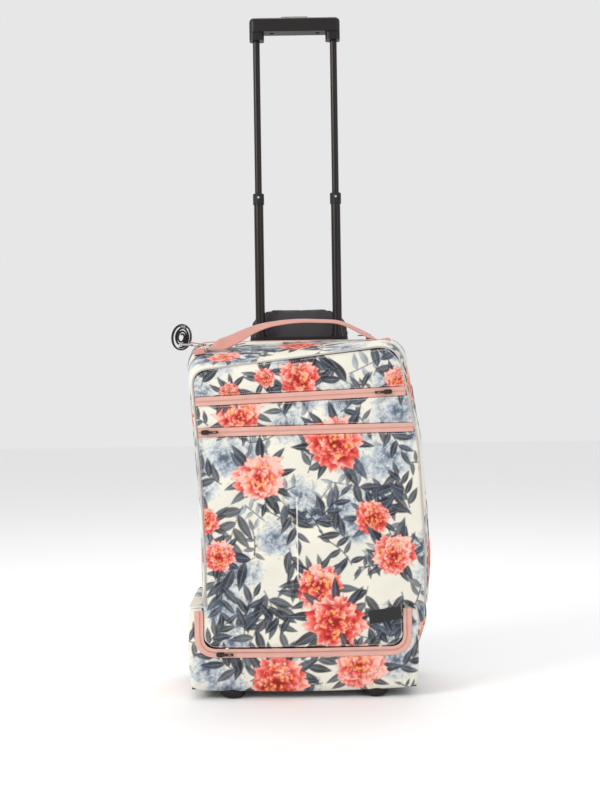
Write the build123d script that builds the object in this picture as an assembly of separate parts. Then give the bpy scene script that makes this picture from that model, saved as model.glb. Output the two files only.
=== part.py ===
from build123d import *
import os
from math import atan2, cos, degrees, radians, sin

# Soft cabin trolley bag on two wheels with a two-stage telescopic handle.
# Millimetres. +Z is up, the printed face looks along -Y, +X is to its right.
# The origin is on the floor under the middle of the bag.

# ---- overall sizes ----
bag_width = 350.0          # base compartment, side to side
bag_rear_top = 553.0       # rear top edge above the floor
bag_depth = 196.0          # front wall to rear wall
handle_height = 1090.0     # top of the grip above the floor, handle out
tube_spacing = 128.0       # centre to centre

# ---- cloth and boards ----
wall = 3.0                 # padded cloth walls
front_panel_t = 4.2        # pocket panels on the face
panel_gap = 0.3            # air between pieces that are not joined
base_bottom = 17.0         # underside of the base compartment
divider_z = 141.0          # floor of the main compartment
divider_t = 3.0
main_zip_y = 62.0          # seam between cover and back section
front_drop_left = 49.0     # the slumped front top edge, under the rear one
front_drop_right = 13.0
board_t = 2.5
board_width = 290.0
board_bottom = 22.0
board_top_margin = 15.0    # board stops this far under the rear top edge
lining_t = 2.0
tape_t = 1.5
tape_width = 12.0
pocket_tape_width = 14.0

# ---- wheels ----
wheel_r = 30.0
wheel_width = 22.0
tyre_t = 7.0
wheel_y = 78.0
wheel_inset = 26.0         # wheel centre in from the side of the base
axle_r = 4.0
bearing_r = 11.0
bearing_width = 7.0
wheel_side_gap = 2.0
wheel_round_gap = 3.5
housing_wall = 5.0
housing_height = 66.0
running_gap = 0.05         # radial, between shafts and their holes

# ---- front feet ----
foot_r = 19.5
foot_x = 110.0
foot_y = -76.0
foot_flat_r = 9.0
foot_screw_r = 2.0

# ---- telescopic handle ----
outer_tube_r = 9.5
outer_tube_wall = 1.2
outer_tube_bottom = 40.0
outer_tube_proud = 13.0    # the fixed tubes stand this far out of the top
tube_to_board = 0.8
middle_tube_r = 7.75
middle_tube_wall = 1.0
stage_overlap = 66.0       # middle tube left inside the outer one, handle out
stage_joint_z = 800.0
inner_tube_r = 5.75
inner_tube_wall = 0.9
inner_overlap = 55.0
collar_height = 18.0
collar_r = 9.2
bush_length = 20.0
pin_r = 2.0
pin_below_top = 7.0

# ---- grip ----
grip_width = 150.0
grip_depth = 27.0
grip_bar_height = 24.0
grip_lug_drop = 13.0
grip_lug_width = 24.0
grip_seat = 9.0            # inner tube goes this far into the bar
button_length = 46.0
button_width = 13.0
button_height = 6.0
button_proud = 2.5
button_travel = 3.0
screw_r = 2.0
screw_head_r = 3.6
screw_head_t = 2.0

# ---- bezel, foot bracket, clamps ----
bezel_height = 8.0
bezel_margin = 3.0         # bezel round the tubes, front and back
bezel_over = 16.0
clamp_drop = 223.0         # lower clamp under the rear top edge
clamp_step = 150.0

# ---- rear padded flap ----
flap_dome_width = 176.0
flap_dome_rise = 58.0
flap_dome_t = 6.0
dome_gap = 1.0

# ---- zips ----
slider_length = 13.0
slider_width = 7.0
slider_height = 4.0
slider_gap = 0.3
pull_length = 20.0
pull_width = 4.0
pull_t = 1.6
pull_pin_r = 0.8
pin_above = 2.3            # pull pin over the top of the slider
base_tape_lower = 8.0
base_tape_upper = 5.4
upper_zip_drop = 90.0      # under the rear top edge, at the middle
upper_zip_tilt = 2.2
upper_zip_length = 316.0
upper_zip_x = -2.0
lower_zip_drop = 141.0
lower_zip_tilt = 0.7
lower_zip_length = 322.0
lower_zip_x = 4.0
base_zip_z = 75.0
base_zip_top = 140.0
base_zip_inset = 9.0
base_corner = 14.0
base_zip_corner = 26.0

# ---- small trim ----
label_length = 50.0
label_height = 20.0
label_x = 125.0
label_z = 128.5
label_tilt = 8.0
strap_width = 26.0
strap_t = 3.0
strap_rise = 30.0
strap_left_x = -146.0
strap_right_x = 124.0
strap_y = -22.0
strap_clear = 9.0
ring_rod_r = 1.75
ring_span = 24.0
ring_reach = 18.0
loop_width = 19.0
loop_length = 38.0
loop_height = 24.0
loop_wall = 4.5
loop_lean = 10.0

half = bag_width / 2
front_y = -bag_depth / 2
rear_y = bag_depth / 2
face_y = front_y - panel_gap - front_panel_t      # front of the pocket panels
hinge_y = face_y - 0.5
hinge_z = divider_z + divider_t + 0.5
cover_bottom = hinge_z + 0.5
front_top_left = bag_rear_top - front_drop_left
front_top_right = bag_rear_top - front_drop_right
upper_zip_z = bag_rear_top - upper_zip_drop
lower_zip_z = bag_rear_top - lower_zip_drop
clamp_z = bag_rear_top - clamp_drop
handle_y = rear_y - wall - 0.2 - board_t - tube_to_board - outer_tube_r
outer_tube_top = bag_rear_top + outer_tube_proud
middle_tube_bottom = outer_tube_top - stage_overlap
inner_tube_bottom = stage_joint_z - inner_overlap
bezel_depth = 2 * (outer_tube_r + bezel_margin)

os.makedirs("parts", exist_ok=True)


def save(name, *shapes):
    """Write one node; several solids of the same kind share it."""
    solids = [s for shape in shapes for s in shape.solids()]
    body = solids[0] if len(solids) == 1 else Compound(children=solids)
    export_step(body, f"parts/{name}.step")


def block(x0, x1, y0, y1, z0, z1, round_z=0.0):
    """A box by its limits, with its four upright edges rounded on request."""
    body = Pos((x0 + x1) / 2, (y0 + y1) / 2, (z0 + z1) / 2) * Box(x1 - x0, y1 - y0, z1 - z0)
    if round_z:
        body = fillet(body.edges().filter_by(Axis.Z), round_z)
    return body


def rod(x, y, z, radius, length, way="Z"):
    """A cylinder from a point, along +Z, +Y or +X."""
    turn = {"Z": Rot(0, 0, 0), "Y": Rot(-90, 0, 0), "X": Rot(0, 90, 0)}[way]
    return Pos(x, y, z) * turn * Cylinder(radius, length, align=(Align.CENTER, Align.CENTER, Align.MIN))


def ring(x, y, z, outer, inner, length, way="Z"):
    return rod(x, y, z, outer, length, way) - rod(x, y, z, inner, length, way)


def inset(points, amount):
    """Move every side of a closed outline inwards by the same amount."""
    lines = []
    for (x0, z0), (x1, z1) in zip(points, points[1:] + points[:1]):
        run, rise = x1 - x0, z1 - z0
        size = (run * run + rise * rise) ** 0.5
        nx, nz = rise / size, -run / size
        lines.append((nx, nz, nx * x0 + nz * z0 + amount))
    out = []
    for (a, b, c), (d, e, f) in zip(lines[-1:] + lines[:-1], lines):
        det = a * e - b * d
        out.append(((c * e - b * f) / det, (a * f - c * d) / det))
    return out


def upright(y, points, radii):
    """A closed outline in a plane of constant y, as a face."""
    plane = Plane((0, y, 0), x_dir=(1, 0, 0), z_dir=(0, -1, 0))
    return make_face(plane * FilletPolyline(*points, radius=radii, close=True))


def slab(points, radii, y0, y1):
    """The outline made solid from y0 back to y1."""
    return extrude(upright(y1, points, radii), amount=y1 - y0, dir=(0, -1, 0))


# ---- outlines of the soft body, from the lower left corner round by the top ----
def outline(t, amount=0.0, bottom=None):
    """Sides of the bag, t = 0 at the front wall and 1 at the main zip; it leans and slumps."""
    def mix(a, b):
        return a + (b - a) * t
    tall = bag_rear_top - cover_bottom
    points = [
        (-half + mix(26, 17), cover_bottom),
        (-half + mix(27, 18), cover_bottom + 0.18 * tall),
        (-half + mix(21, 11), cover_bottom + 0.50 * tall),
        (-half + mix(10, -7), mix(front_top_left, bag_rear_top)),
        (half - mix(26, 4), mix(front_top_right, bag_rear_top)),
        (half + mix(4, 17), cover_bottom + 0.60 * tall),
        (half + mix(13, 31), cover_bottom + 0.18 * tall),
        (half + mix(11, 26), cover_bottom),
    ]
    moved = inset(points, amount)
    if bottom is None:
        return moved
    return [(moved[0][0], bottom)] + moved[1:-1] + [(moved[-1][0], bottom)]


def outline_radii(t, less=0.0):
    def mix(a, b):
        return a + (b - a) * t
    return [0.0, 40.0, 60.0, mix(24, 34) - less, mix(34, 34) - less, 60.0, 40.0, 0.0]


def open_bottom(points, drop=20.0):
    """The same outline with its two lower corners taken further down."""
    return [(points[0][0], points[0][1] - drop)] + points[1:-1] + [(points[-1][0], points[-1][1] - drop)]


seam_y = main_zip_y - panel_gap
seam_t = (seam_y - front_y) / (main_zip_y - front_y)

# ---- cover: front, top and sides of the main compartment in one hollow piece ----
cover_outer = loft([upright(front_y, outline(0), outline_radii(0)),
                    upright(seam_y, outline(seam_t), outline_radii(seam_t))], ruled=True)
inner_front = front_y + wall
inner_t = wall / (main_zip_y - front_y)
past = seam_y + 2.0
past_t = (past - front_y) / (main_zip_y - front_y)
cover_inner = loft([upright(inner_front, open_bottom(outline(inner_t, wall)), outline_radii(inner_t, wall)),
                    upright(past, open_bottom(outline(past_t, wall)), outline_radii(past_t, wall))], ruled=True)
cover_shell = cover_outer - cover_inner
save("cover_shell", cover_shell)


# ---- face of the cover: three panels with two zips between them ----
def tilted(shape, x, z, angle):
    """Carry a piece drawn along X at the origin to its line on the face."""
    return Pos(x, 0, z) * Rot(0, -angle, 0) * shape


face_outline = outline(0, 5.0)
face_radii = outline_radii(0, 5.0)
face_slab = slab(face_outline, face_radii, face_y, front_y - panel_gap)
wide = bag_width * 2
half_tape = pocket_tape_width / 2
upper_line = tilted(Box(wide, 60, pocket_tape_width), upper_zip_x, upper_zip_z, upper_zip_tilt)
lower_line = tilted(Box(wide, 60, pocket_tape_width), lower_zip_x, lower_zip_z, lower_zip_tilt)


def above(x, z, tilt, height):
    return tilted(Pos(0, front_y, height / 2) * Box(wide, 60, height), x, z, tilt)


over_upper = above(upper_zip_x, upper_zip_z, upper_zip_tilt, 400)
over_lower = above(lower_zip_x, lower_zip_z, lower_zip_tilt, 400)
bars = [Pos(0, front_y, 0) * upper_line, Pos(0, front_y, 0) * lower_line]
yoke_panel = (face_slab & over_upper) - bars[0]
upper_pocket_panel = ((face_slab & over_lower) - over_upper) - bars[0] - bars[1]
lower_pocket_panel = (face_slab - over_lower) - bars[1]
save("face_panels", yoke_panel, upper_pocket_panel, lower_pocket_panel)

# Welt sewn round the face.
welt = (slab(outline(0, 0.4), outline_radii(0), front_y - 3.0, front_y - panel_gap)
        - slab(outline(0, 4.6), outline_radii(0, 4.6), front_y - 4.0, front_y))
save("face_welt", welt)


def pocket_tape(length, x, z, tilt):
    tape = Box(length, tape_t, pocket_tape_width - 2 * panel_gap)
    coil = Pos(0, -1.2, 0) * Box(length - 8, 1.4, 4.0)
    return Pos(0, front_y - panel_gap - tape_t / 2, 0) * tilted(tape + coil, x, z, tilt)


within = slab(outline(0, 5.2), outline_radii(0, 5.2), front_y - 10, front_y)
pocket_tapes = [pocket_tape(upper_zip_length, upper_zip_x, upper_zip_z, upper_zip_tilt) & within,
                pocket_tape(lower_zip_length, lower_zip_x, lower_zip_z, lower_zip_tilt) & within]

tape_front = front_y - panel_gap - tape_t - 1.15     # top of the zip coil


def slider():
    """A zip slider lying on a coil at z = 0 and facing -Y, with a bridge for its pull."""
    body = Pos(0, -slider_height / 2, 0) * Box(slider_length, slider_height, slider_width)
    body = fillet(body.edges().filter_by(Axis.Y), 0.43 * slider_width)
    ear_z = pull_width / 2 + 0.8
    ears = [Pos(0, -slider_height - pin_above / 2 - 0.5, z) * Box(4.0, pin_above + 1.2, 1.0) for z in (ear_z, -ear_z)]
    pin = Pos(0, -slider_height - pin_above, 0) * Cylinder(pull_pin_r, 2 * ear_z)
    return body + ears[0] + ears[1] + pin


def pull():
    """A flat pull on the slider's pin, which runs along Z."""
    tab = Pos(pull_length / 2, 0, 0) * Box(pull_length, pull_t, pull_width)
    tab = tab + Cylinder(pull_pin_r + 1.1, pull_width)
    tab = tab - Cylinder(pull_pin_r + running_gap, 20)
    window = Pos(pull_length - 6, 0, 0) * Box(5, 10, pull_width - 2.4)
    return tab - window


def slider_at(x, y, z, tilt):
    """Slider and pull on a face: the pull lies along the zip, towards +X."""
    place = Pos(x, y - slider_gap, z) * Rot(0, -tilt, 0)
    pin_y = -slider_height - pin_above
    return place * slider(), place * Pos(0, pin_y, 0) * pull()


def along(x, z, tilt, run):
    """The point a given run along a tilted zip from its middle."""
    return x + run * cos(radians(tilt)), z + run * sin(radians(tilt))


ux, uz = along(upper_zip_x, upper_zip_z, upper_zip_tilt, upper_zip_length / 2 - 22)
lx, lz = along(lower_zip_x, lower_zip_z, lower_zip_tilt, -(lower_zip_length / 2 - 12))
upper_slider, upper_pull = slider_at(ux, tape_front, uz, upper_zip_tilt + 180)
lower_slider, lower_pull = slider_at(lx, tape_front, lz, lower_zip_tilt)
save("upper_zip_slider", upper_slider)
save("upper_zip_pull", upper_pull)
save("lower_zip_slider", lower_slider)
save("lower_zip_pull", lower_pull)
sx, sz = along(lower_zip_x, lower_zip_z, lower_zip_tilt, lower_zip_length / 2 - 11)
stop = tilted(Pos(0, tape_front - 1.0, 0) * Box(7, 1.6, 7), sx, sz, lower_zip_tilt)
tx, tz = along(upper_zip_x, upper_zip_z, upper_zip_tilt, -(upper_zip_length / 2 - 11))
stop_2 = tilted(Pos(0, tape_front - 1.0, 0) * Box(7, 1.6, 7), tx, tz, upper_zip_tilt)
save("pocket_zip_tapes", *pocket_tapes, stop, stop_2)

label = fillet(Box(label_length, 1.2, label_height).edges().filter_by(Axis.Y), 2.0)
save("blank_label", Pos(0, face_y - 0.62, 0) * tilted(label, label_x, label_z, label_tilt))

# ---- back section: the rear wall and the strip of side behind the main zip ----
back_bottom = divider_z + divider_t
back_outer = slab(outline(1, 0, back_bottom), outline_radii(1), main_zip_y, rear_y)
back_inner = slab(outline(1, wall, back_bottom - 20), outline_radii(1, wall), main_zip_y - 1, rear_y - wall)
back_section = back_outer - back_inner

bezel_x = tube_spacing / 2 + bezel_over
tube_xs = (-tube_spacing / 2, tube_spacing / 2)
hole_r = outer_tube_r + panel_gap
for x in tube_xs:
    back_section -= rod(x, handle_y, divider_z, hole_r, bag_rear_top)
save("back_section", back_section)

# Lining in front of the tubes, and the stiff board behind them.
lining_y = main_zip_y + 2.5
lining = slab(outline(1, wall + 0.2, back_bottom), outline_radii(1, wall), lining_y, lining_y + lining_t)
save("back_lining", lining)
board_y1 = rear_y - wall - 0.2
board_y0 = board_y1 - board_t
back_board = fillet(block(-board_width / 2 + 8, board_width / 2 + 8, board_y0, board_y1,
                          back_bottom, bag_rear_top - board_top_margin)
                    .edges().filter_by(Axis.Y), 20)

# ---- base compartment: a low hollow tub that carries wheels, feet and tubes ----
wheel_x = half - wheel_inset
housing_x0 = wheel_x - wheel_width / 2 - wheel_side_gap - housing_wall
housing_x1 = wheel_x + wheel_width / 2 + wheel_side_gap + housing_wall
housing_y0 = wheel_y - wheel_r - wheel_round_gap - housing_wall
housing_top = base_bottom + housing_height


def housing_space(side, grow):
    x0, x1 = sorted((side * (housing_x0 - grow), side * (half + 30)))
    return block(x0, x1, housing_y0 - grow, rear_y + 30, base_bottom - 30, housing_top + grow)


base_outer = block(-half, half, front_y, rear_y, base_bottom, divider_z, base_corner)
base_inner = block(-half + wall, half - wall, front_y + wall, rear_y - wall, base_bottom + wall,
                   divider_z + 5, base_corner - wall)
base_shell = base_outer - base_inner
hole_x = half - base_zip_inset - tape_width - 10.0
base_hole = block(-hole_x, hole_x, front_y - 5, front_y + wall + 1, base_zip_z + tape_width, divider_z + 5)
base_shell = base_shell - base_hole - housing_space(1, 0.2) - housing_space(-1, 0.2)
divider = block(-half + 2, half - 2, front_y + 0.5, rear_y - 0.5, divider_z + 0.1, divider_z + divider_t, base_corner - 2)
for x in tube_xs:
    divider -= rod(x, handle_y, divider_z - 5, hole_r, 20)
save("compartment_floor", divider)
floor_board_z = base_bottom + wall + 0.1
floor_board = block(-half + wall + 2, half - wall - 2, front_y + wall + 1, rear_y - wall - 1,
                    floor_board_z, floor_board_z + 2.5, base_corner - wall - 2)
floor_board = floor_board - housing_space(1, 1.0) - housing_space(-1, 1.0)
for side in (-1, 1):
    floor_board -= rod(side * foot_x, foot_y, 0, foot_screw_r + 0.1, 60)
save("base_board", floor_board)

# Strip of printed cloth at the front under the base zip.
strip_z = base_zip_z - base_tape_lower - panel_gap
strip_half = half - base_corner
base_strip = slab([(-strip_half, base_bottom + 2), (-strip_half, strip_z), (strip_half, strip_z),
                   (strip_half, base_bottom + 2)], [6, 2, 2, 6], face_y + 1.5, front_y - panel_gap)
save("base_front_panel", base_strip)


def zip_band(out, width, top, y0, y1):
    """A flat U along the base zip: its outer edge lies out from the zip line, with a given width."""
    x0, x1 = -half + base_zip_inset + base_tape_lower - out, half - base_zip_inset - base_tape_lower + out
    z0 = base_zip_z - out
    outer = slab([(x0, z0), (x0, top), (x1, top), (x1, z0)],
                 [base_zip_corner + out, 0, 0, base_zip_corner + out], y0, y1)
    inner = slab([(x0 + width, z0 + width), (x0 + width, top + 20), (x1 - width, top + 20), (x1 - width, z0 + width)],
                 [base_zip_corner + out - width, 0, 0, base_zip_corner + out - width], y0 - 1, y1 + 1)
    return outer - inner


base_tape_y1 = front_y - panel_gap
base_tape_y0 = base_tape_y1 - tape_t
outer_band = zip_band(base_tape_lower, base_tape_lower, base_zip_top - 2, base_tape_y0, base_tape_y1)
inner_band = zip_band(-panel_gap, base_tape_upper, base_zip_top - 2, base_tape_y0, base_tape_y1)
save("base_zip_tape_lower", outer_band)

# Hinged front flap of the base compartment with its own half of the zip.
flap_in = base_zip_inset + base_tape_lower + base_tape_upper + 2 * panel_gap
fx = half - flap_in
fz0 = base_zip_z + base_tape_upper + 2 * panel_gap
flap_corner = base_zip_corner - base_tape_upper - 2 * panel_gap
base_flap = slab([(-fx, fz0), (-fx, divider_z + divider_t), (fx, divider_z + divider_t), (fx, fz0)],
                 [flap_corner, 0, 0, flap_corner], face_y, front_y - panel_gap)
save("base_flap", base_flap)
save("base_zip_tape_upper", inner_band)
base_coil_y = base_tape_y0
bx = -half + base_zip_inset + base_zip_corner + slider_length
base_slider, base_pull = slider_at(bx, base_coil_y, base_zip_z - base_tape_lower / 2, 0)
save("base_zip_slider", base_slider)
save("base_zip_pull", base_pull)

# ---- main zip: one tape on the back section, one on the cover ----
zip_ends_z = divider_z + 22.0


def rim_section(y, amount, drop=0.0):
    """The bag's outline at a depth, grown by an amount; behind the main zip it stays the same."""
    t = min((y - front_y) / (main_zip_y - front_y), 1.0)
    return upright(y, open_bottom(outline(t, -amount), drop), outline_radii(t, -amount))


def rim_band(y0, y1, grow):
    band = (loft([rim_section(y0, grow), rim_section(y1, grow)], ruled=True)
            - loft([rim_section(y0 - 1, panel_gap, 20.0), rim_section(y1 + 1, panel_gap, 20.0)], ruled=True))
    return band - block(-half - 90, half + 90, y0 - 2, y1 + 2, 0, zip_ends_z)


save("main_zip_tape_back", rim_band(main_zip_y + 0.3, main_zip_y + tape_width / 2, panel_gap + tape_t))
front_tape_y = seam_y - tape_width / 2
save("main_zip_tape_cover", rim_band(front_tape_y, seam_y, panel_gap + tape_t))
main_slider_x = half - 58.0
top_of_tape = bag_rear_top + panel_gap + tape_t
lay = Pos(main_slider_x, main_zip_y + panel_gap + slider_width / 2, top_of_tape + slider_gap) * Rot(-90, 0, 0) * Rot(0, 180, 0)
save("main_zip_slider", lay * slider())
save("main_zip_pull", lay * Pos(0, -slider_height - pin_above, 0) * pull())

# ---- wheels, axles and their housings ----
housings, axles = [], []
for side, word in ((-1, "left"), (1, "right")):
    x = side * wheel_x
    x0, x1 = sorted((side * housing_x0, side * housing_x1))
    body = block(x0, x1, housing_y0, rear_y + 2.0, base_bottom, housing_top)
    body = fillet(body.edges().filter_by(Axis.X).group_by(Axis.Z)[-1], 12.0)
    room = rod(x - wheel_width / 2 - wheel_side_gap, wheel_y, wheel_r, wheel_r + wheel_round_gap,
               wheel_width + 2 * wheel_side_gap, "X")
    body -= room
    body -= rod(x0 - 1, wheel_y, wheel_r, axle_r, x1 - x0 + 2, "X")
    housings.append(body)
    left = x - wheel_width / 2
    tyre = ring(left, wheel_y, wheel_r, wheel_r, wheel_r - tyre_t, wheel_width, "X")
    tyre = fillet(tyre.edges().filter_by(GeomType.CIRCLE).sort_by(lambda e: -e.radius)[:2], 3.5)
    save(f"tyre_{word}", tyre)
    hub = ring(left + 1, wheel_y, wheel_r, wheel_r - tyre_t, bearing_r, wheel_width - 2, "X")
    groove = ring(left + 1, wheel_y, wheel_r, wheel_r - tyre_t - 3.0, bearing_r + 2.5, 4.0, "X")
    groove_2 = ring(left + wheel_width - 5, wheel_y, wheel_r, wheel_r - tyre_t - 3.0, bearing_r + 2.5, 4.0, "X")
    save(f"wheel_hub_{word}", hub - groove - groove_2)
    races = [ring(left + 1 + shift, wheel_y, wheel_r, bearing_r, axle_r + running_gap, bearing_width, "X")
             for shift in (0, wheel_width - 2 - bearing_width)]
    save(f"wheel_bearings_{word}", *races)
    axle = rod(x0 - 1.5, wheel_y, wheel_r, axle_r, x1 - x0 + 3.0, "X")
    cap = rod(x0 - 3.5, wheel_y, wheel_r, axle_r + 2.5, 2.0 + 1.45, "X")
    cap_2 = rod(x1 + 0.05, wheel_y, wheel_r, axle_r + 2.5, 2.0 + 1.45, "X")
    axles.append(axle + cap + cap_2)
save("wheel_housings", *housings)
save("wheel_axles", *axles)

# Screws that hold the housings up to the base, two each, from inside.
screws = []
for side in (-1, 1):
    for dx in (-9.0, 9.0):
        at = (side * wheel_x + dx, housing_y0 + 16.0)
        screws.append(rod(*at, housing_top + 0.02, screw_head_r, screw_head_t))
save("housing_screws", *screws)

# ---- front feet, each a flattened dome on one screw ----
feet, foot_screws = [], []
for side in (-1, 1):
    dome = Pos(side * foot_x, foot_y, 0) * Cylinder(foot_r, base_bottom - 0.1,
                                                    align=(Align.CENTER, Align.CENTER, Align.MIN))
    low_edge = dome.edges().filter_by(GeomType.CIRCLE).sort_by(Axis.Z)[0]
    dome = fillet(low_edge, foot_r - foot_flat_r)
    bore = rod(side * foot_x, foot_y, 4.0, foot_screw_r, base_bottom)
    head_room = rod(side * foot_x, foot_y, -1.0, foot_screw_r + 1.8, 5.0)
    feet.append(dome - bore - head_room)
    shank = rod(side * foot_x, foot_y, 4.0, foot_screw_r, floor_board_z + 2.5 + 3.0 - 4.0)
    head = rod(side * foot_x, foot_y, 2.4, foot_screw_r + 1.5, 1.6)
    nut = ring(side * foot_x, foot_y, floor_board_z + 2.6, foot_screw_r + 2.0, foot_screw_r, 2.4)
    foot_screws.append(shank + head + nut)
base_cut = sum((Part() + rod(side * foot_x, foot_y, 0, foot_screw_r + 0.1, 60) for side in (-1, 1)), Part())
save("base_compartment", base_shell - base_cut)
save("front_feet", *feet)
save("foot_screws", *foot_screws)

# ---- telescopic handle ----
outer_bore = outer_tube_r - outer_tube_wall
middle_bore = middle_tube_r - middle_tube_wall
grip_top = handle_height
grip_bar_z = grip_top - grip_bar_height
lug_z = grip_bar_z - grip_lug_drop
outers, middles, inners = [], [], []
collars, top_bushes, low_bushes, inner_bushes, pins = [], [], [], [], []
collar_z = stage_joint_z - collar_height
for x in tube_xs:
    outer = ring(x, handle_y, outer_tube_bottom, outer_tube_r, outer_bore, outer_tube_top - outer_tube_bottom)
    outers.append(outer)
    middle_top = stage_joint_z - 2.0
    middle = ring(x, handle_y, middle_tube_bottom, middle_tube_r, middle_bore, middle_top - middle_tube_bottom)
    pin_z = stage_joint_z - pin_below_top
    middle -= rod(x, handle_y - outer_tube_r, pin_z, pin_r + running_gap, outer_tube_r, "Y")
    middles.append(middle)
    inner_top = grip_bar_z + grip_seat
    inner = ring(x, handle_y, inner_tube_bottom, inner_tube_r, inner_tube_r - inner_tube_wall,
                 inner_top - inner_tube_bottom)
    inners.append(inner)
    collar = rod(x, handle_y, collar_z, collar_r, collar_height)
    collar -= rod(x, handle_y, collar_z - 1, middle_tube_r, middle_top - collar_z + 1)
    collar -= rod(x, handle_y, collar_z, inner_tube_r + running_gap, collar_height + 1)
    collar -= rod(x, handle_y - collar_r - 1, pin_z, pin_r + running_gap, collar_r + 1, "Y")
    collars.append(fillet(collar.edges().filter_by(GeomType.CIRCLE).group_by(Axis.Z)[-1].sort_by(
        lambda e: -e.radius)[0], 1.5))
    top_bushes.append(ring(x, handle_y, outer_tube_top - bush_length, outer_bore,
                           middle_tube_r + running_gap, bush_length))
    low_bushes.append(ring(x, handle_y, middle_tube_bottom + 1, outer_bore - running_gap,
                           middle_tube_r, bush_length))
    inner_bushes.append(ring(x, handle_y, inner_tube_bottom + 1, middle_bore - running_gap,
                             inner_tube_r, bush_length))
    pins.append(rod(x, handle_y - collar_r - 0.8, pin_z, pin_r, collar_r + 0.8 - inner_tube_r - 0.3, "Y"))
save("outer_tubes", *outers)
save("middle_tubes", *middles)
save("inner_tubes", *inners)
save("stage_collars", *collars)
save("outer_tube_bushes", *top_bushes)
save("middle_tube_bushes", *low_bushes)
save("inner_tube_bushes", *inner_bushes)
save("lock_pins", *pins)

# Bezel on the rear top edge and the bracket under the tubes.
bezel = block(-bezel_x, bezel_x, handle_y - bezel_depth / 2, handle_y + bezel_depth / 2,
              bag_rear_top + 0.1, bag_rear_top + bezel_height, 10)
for x in tube_xs:
    bezel -= rod(x, handle_y, bag_rear_top - 5, outer_tube_r + 0.02, 40)
tape_room = block(-half - 60, half + 60, front_y, main_zip_y + tape_width / 2 + panel_gap,
                  bag_rear_top - 5, top_of_tape + panel_gap)
bezel -= tape_room
save("handle_bezel", bezel)
bracket_top = outer_tube_bottom + 12.0
bracket = block(-bezel_x, bezel_x, handle_y - 13, rear_y - wall, floor_board_z + 2.5, bracket_top, 8)
for x in tube_xs:
    bracket -= rod(x, handle_y, outer_tube_bottom, outer_tube_r + 0.02, 40)
save("handle_foot_bracket", bracket)
clamp_y1 = board_y0
rivets = [rod(x, clamp_y1 - 6.0, z + 7.0, 3.0, board_y1 - clamp_y1 + 6.0, "Y")
          for z in (clamp_z, clamp_z + clamp_step) for x in (-30.0, 30.0)]
clamps = []
for z in (clamp_z, clamp_z + clamp_step):
    clamp = block(-bezel_x, bezel_x, lining_y + lining_t + 0.3, clamp_y1, z, z + 14)
    for x in tube_xs:
        clamp -= rod(x, handle_y, z - 1, outer_tube_r + 0.02, 20)
    for one in rivets:
        clamp -= one
    clamps.append(clamp)
save("tube_clamps", *clamps)
save("clamp_rivets", *rivets)
for one in rivets:
    back_board -= one
save("back_board", back_board)

# ---- grip: lower half with the two lugs, upper half, button and screws ----
split_z = grip_bar_z + grip_bar_height * 0.5
gx, gy = grip_width / 2, grip_depth / 2
bar = block(-gx, gx, handle_y - gy, handle_y + gy, grip_bar_z, grip_top, 9)
bar = fillet(bar.edges().group_by(Axis.Z)[-1], 7.0)
lower = bar & block(-gx - 1, gx + 1, handle_y - gy - 1, handle_y + gy + 1, grip_bar_z - 1, split_z)
upper = bar - block(-gx - 1, gx + 1, handle_y - gy - 1, handle_y + gy + 1, grip_bar_z - 1, split_z + 0.05)
for x in tube_xs:
    side = 1 if x > 0 else -1
    e0, e1 = sorted((side * gx, side * (gx - grip_lug_width)))
    lug = block(e0, e1, handle_y - gy + 2, handle_y + gy - 2, lug_z, grip_bar_z + 3, 7)
    lower += lug
for x in tube_xs:
    lower -= rod(x, handle_y, lug_z - 1, inner_tube_r, grip_seat + grip_lug_drop + 1)
well = block(-button_length / 2 - slider_gap, button_length / 2 + slider_gap,
             handle_y - button_width / 2 - slider_gap, handle_y + button_width / 2 + slider_gap,
             grip_top - button_height - button_travel + button_proud - 0.5, grip_top + 5)
upper -= well
screw_xs = (-38.0, 38.0)
screw_list = []
for x in screw_xs:
    shank = rod(x, handle_y, grip_bar_z + 2.0 + screw_head_t, screw_r, grip_bar_height - 12)
    head = rod(x, handle_y, grip_bar_z + 2.0, screw_head_r, screw_head_t)
    screw_list.append(shank + head)
    lower -= rod(x, handle_y, grip_bar_z - 1, screw_head_r + 0.3, 3.0 + screw_head_t)
    lower -= rod(x, handle_y, grip_bar_z, screw_r, grip_bar_height)
    upper -= rod(x, handle_y, grip_bar_z, screw_r, grip_bar_height - 8)
save("grip_lower", lower)
save("grip_upper", upper)
save("grip_screws", *screw_list)
button_z0 = grip_top - button_height + button_proud
button = block(-button_length / 2, button_length / 2, handle_y - button_width / 2, handle_y + button_width / 2,
               button_z0, button_z0 + button_height, 5)
button = fillet(button.edges().group_by(Axis.Z)[-1], 1.5)
save("release_button", button)

# ---- padded flap that stands behind the tubes ----
dome_top = bag_rear_top + flap_dome_rise
dome_half = flap_dome_width / 2
dome_pts = [(-dome_half, bag_rear_top - 60), (-dome_half, bag_rear_top - 12), (-dome_half * 0.55, dome_top),
            (dome_half * 0.45, dome_top + 2), (dome_half, bag_rear_top + 8), (dome_half, bag_rear_top - 60)]
dome_panel = slab(dome_pts, [12, 20, 26, 34, 16, 12], rear_y + dome_gap, rear_y + dome_gap + flap_dome_t)
save("rear_pad_flap", dome_panel)
pad = slab([(-135, 170), (-135, bag_rear_top - 75), (145, bag_rear_top - 75), (145, 170)], [18] * 4,
           rear_y + 0.2, rear_y + 4.0)
save("rear_slip_pocket", pad)

# ---- webbing grab handle across the top ----
def top_z(x, y):
    """Height of the top of the cover at a place."""
    t = (y - front_y) / (main_zip_y - front_y)
    left = front_top_left + (bag_rear_top - front_top_left) * t
    right = front_top_right + (bag_rear_top - front_top_right) * t
    share = (x + half) / bag_width
    return left + (right - left) * share


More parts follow.
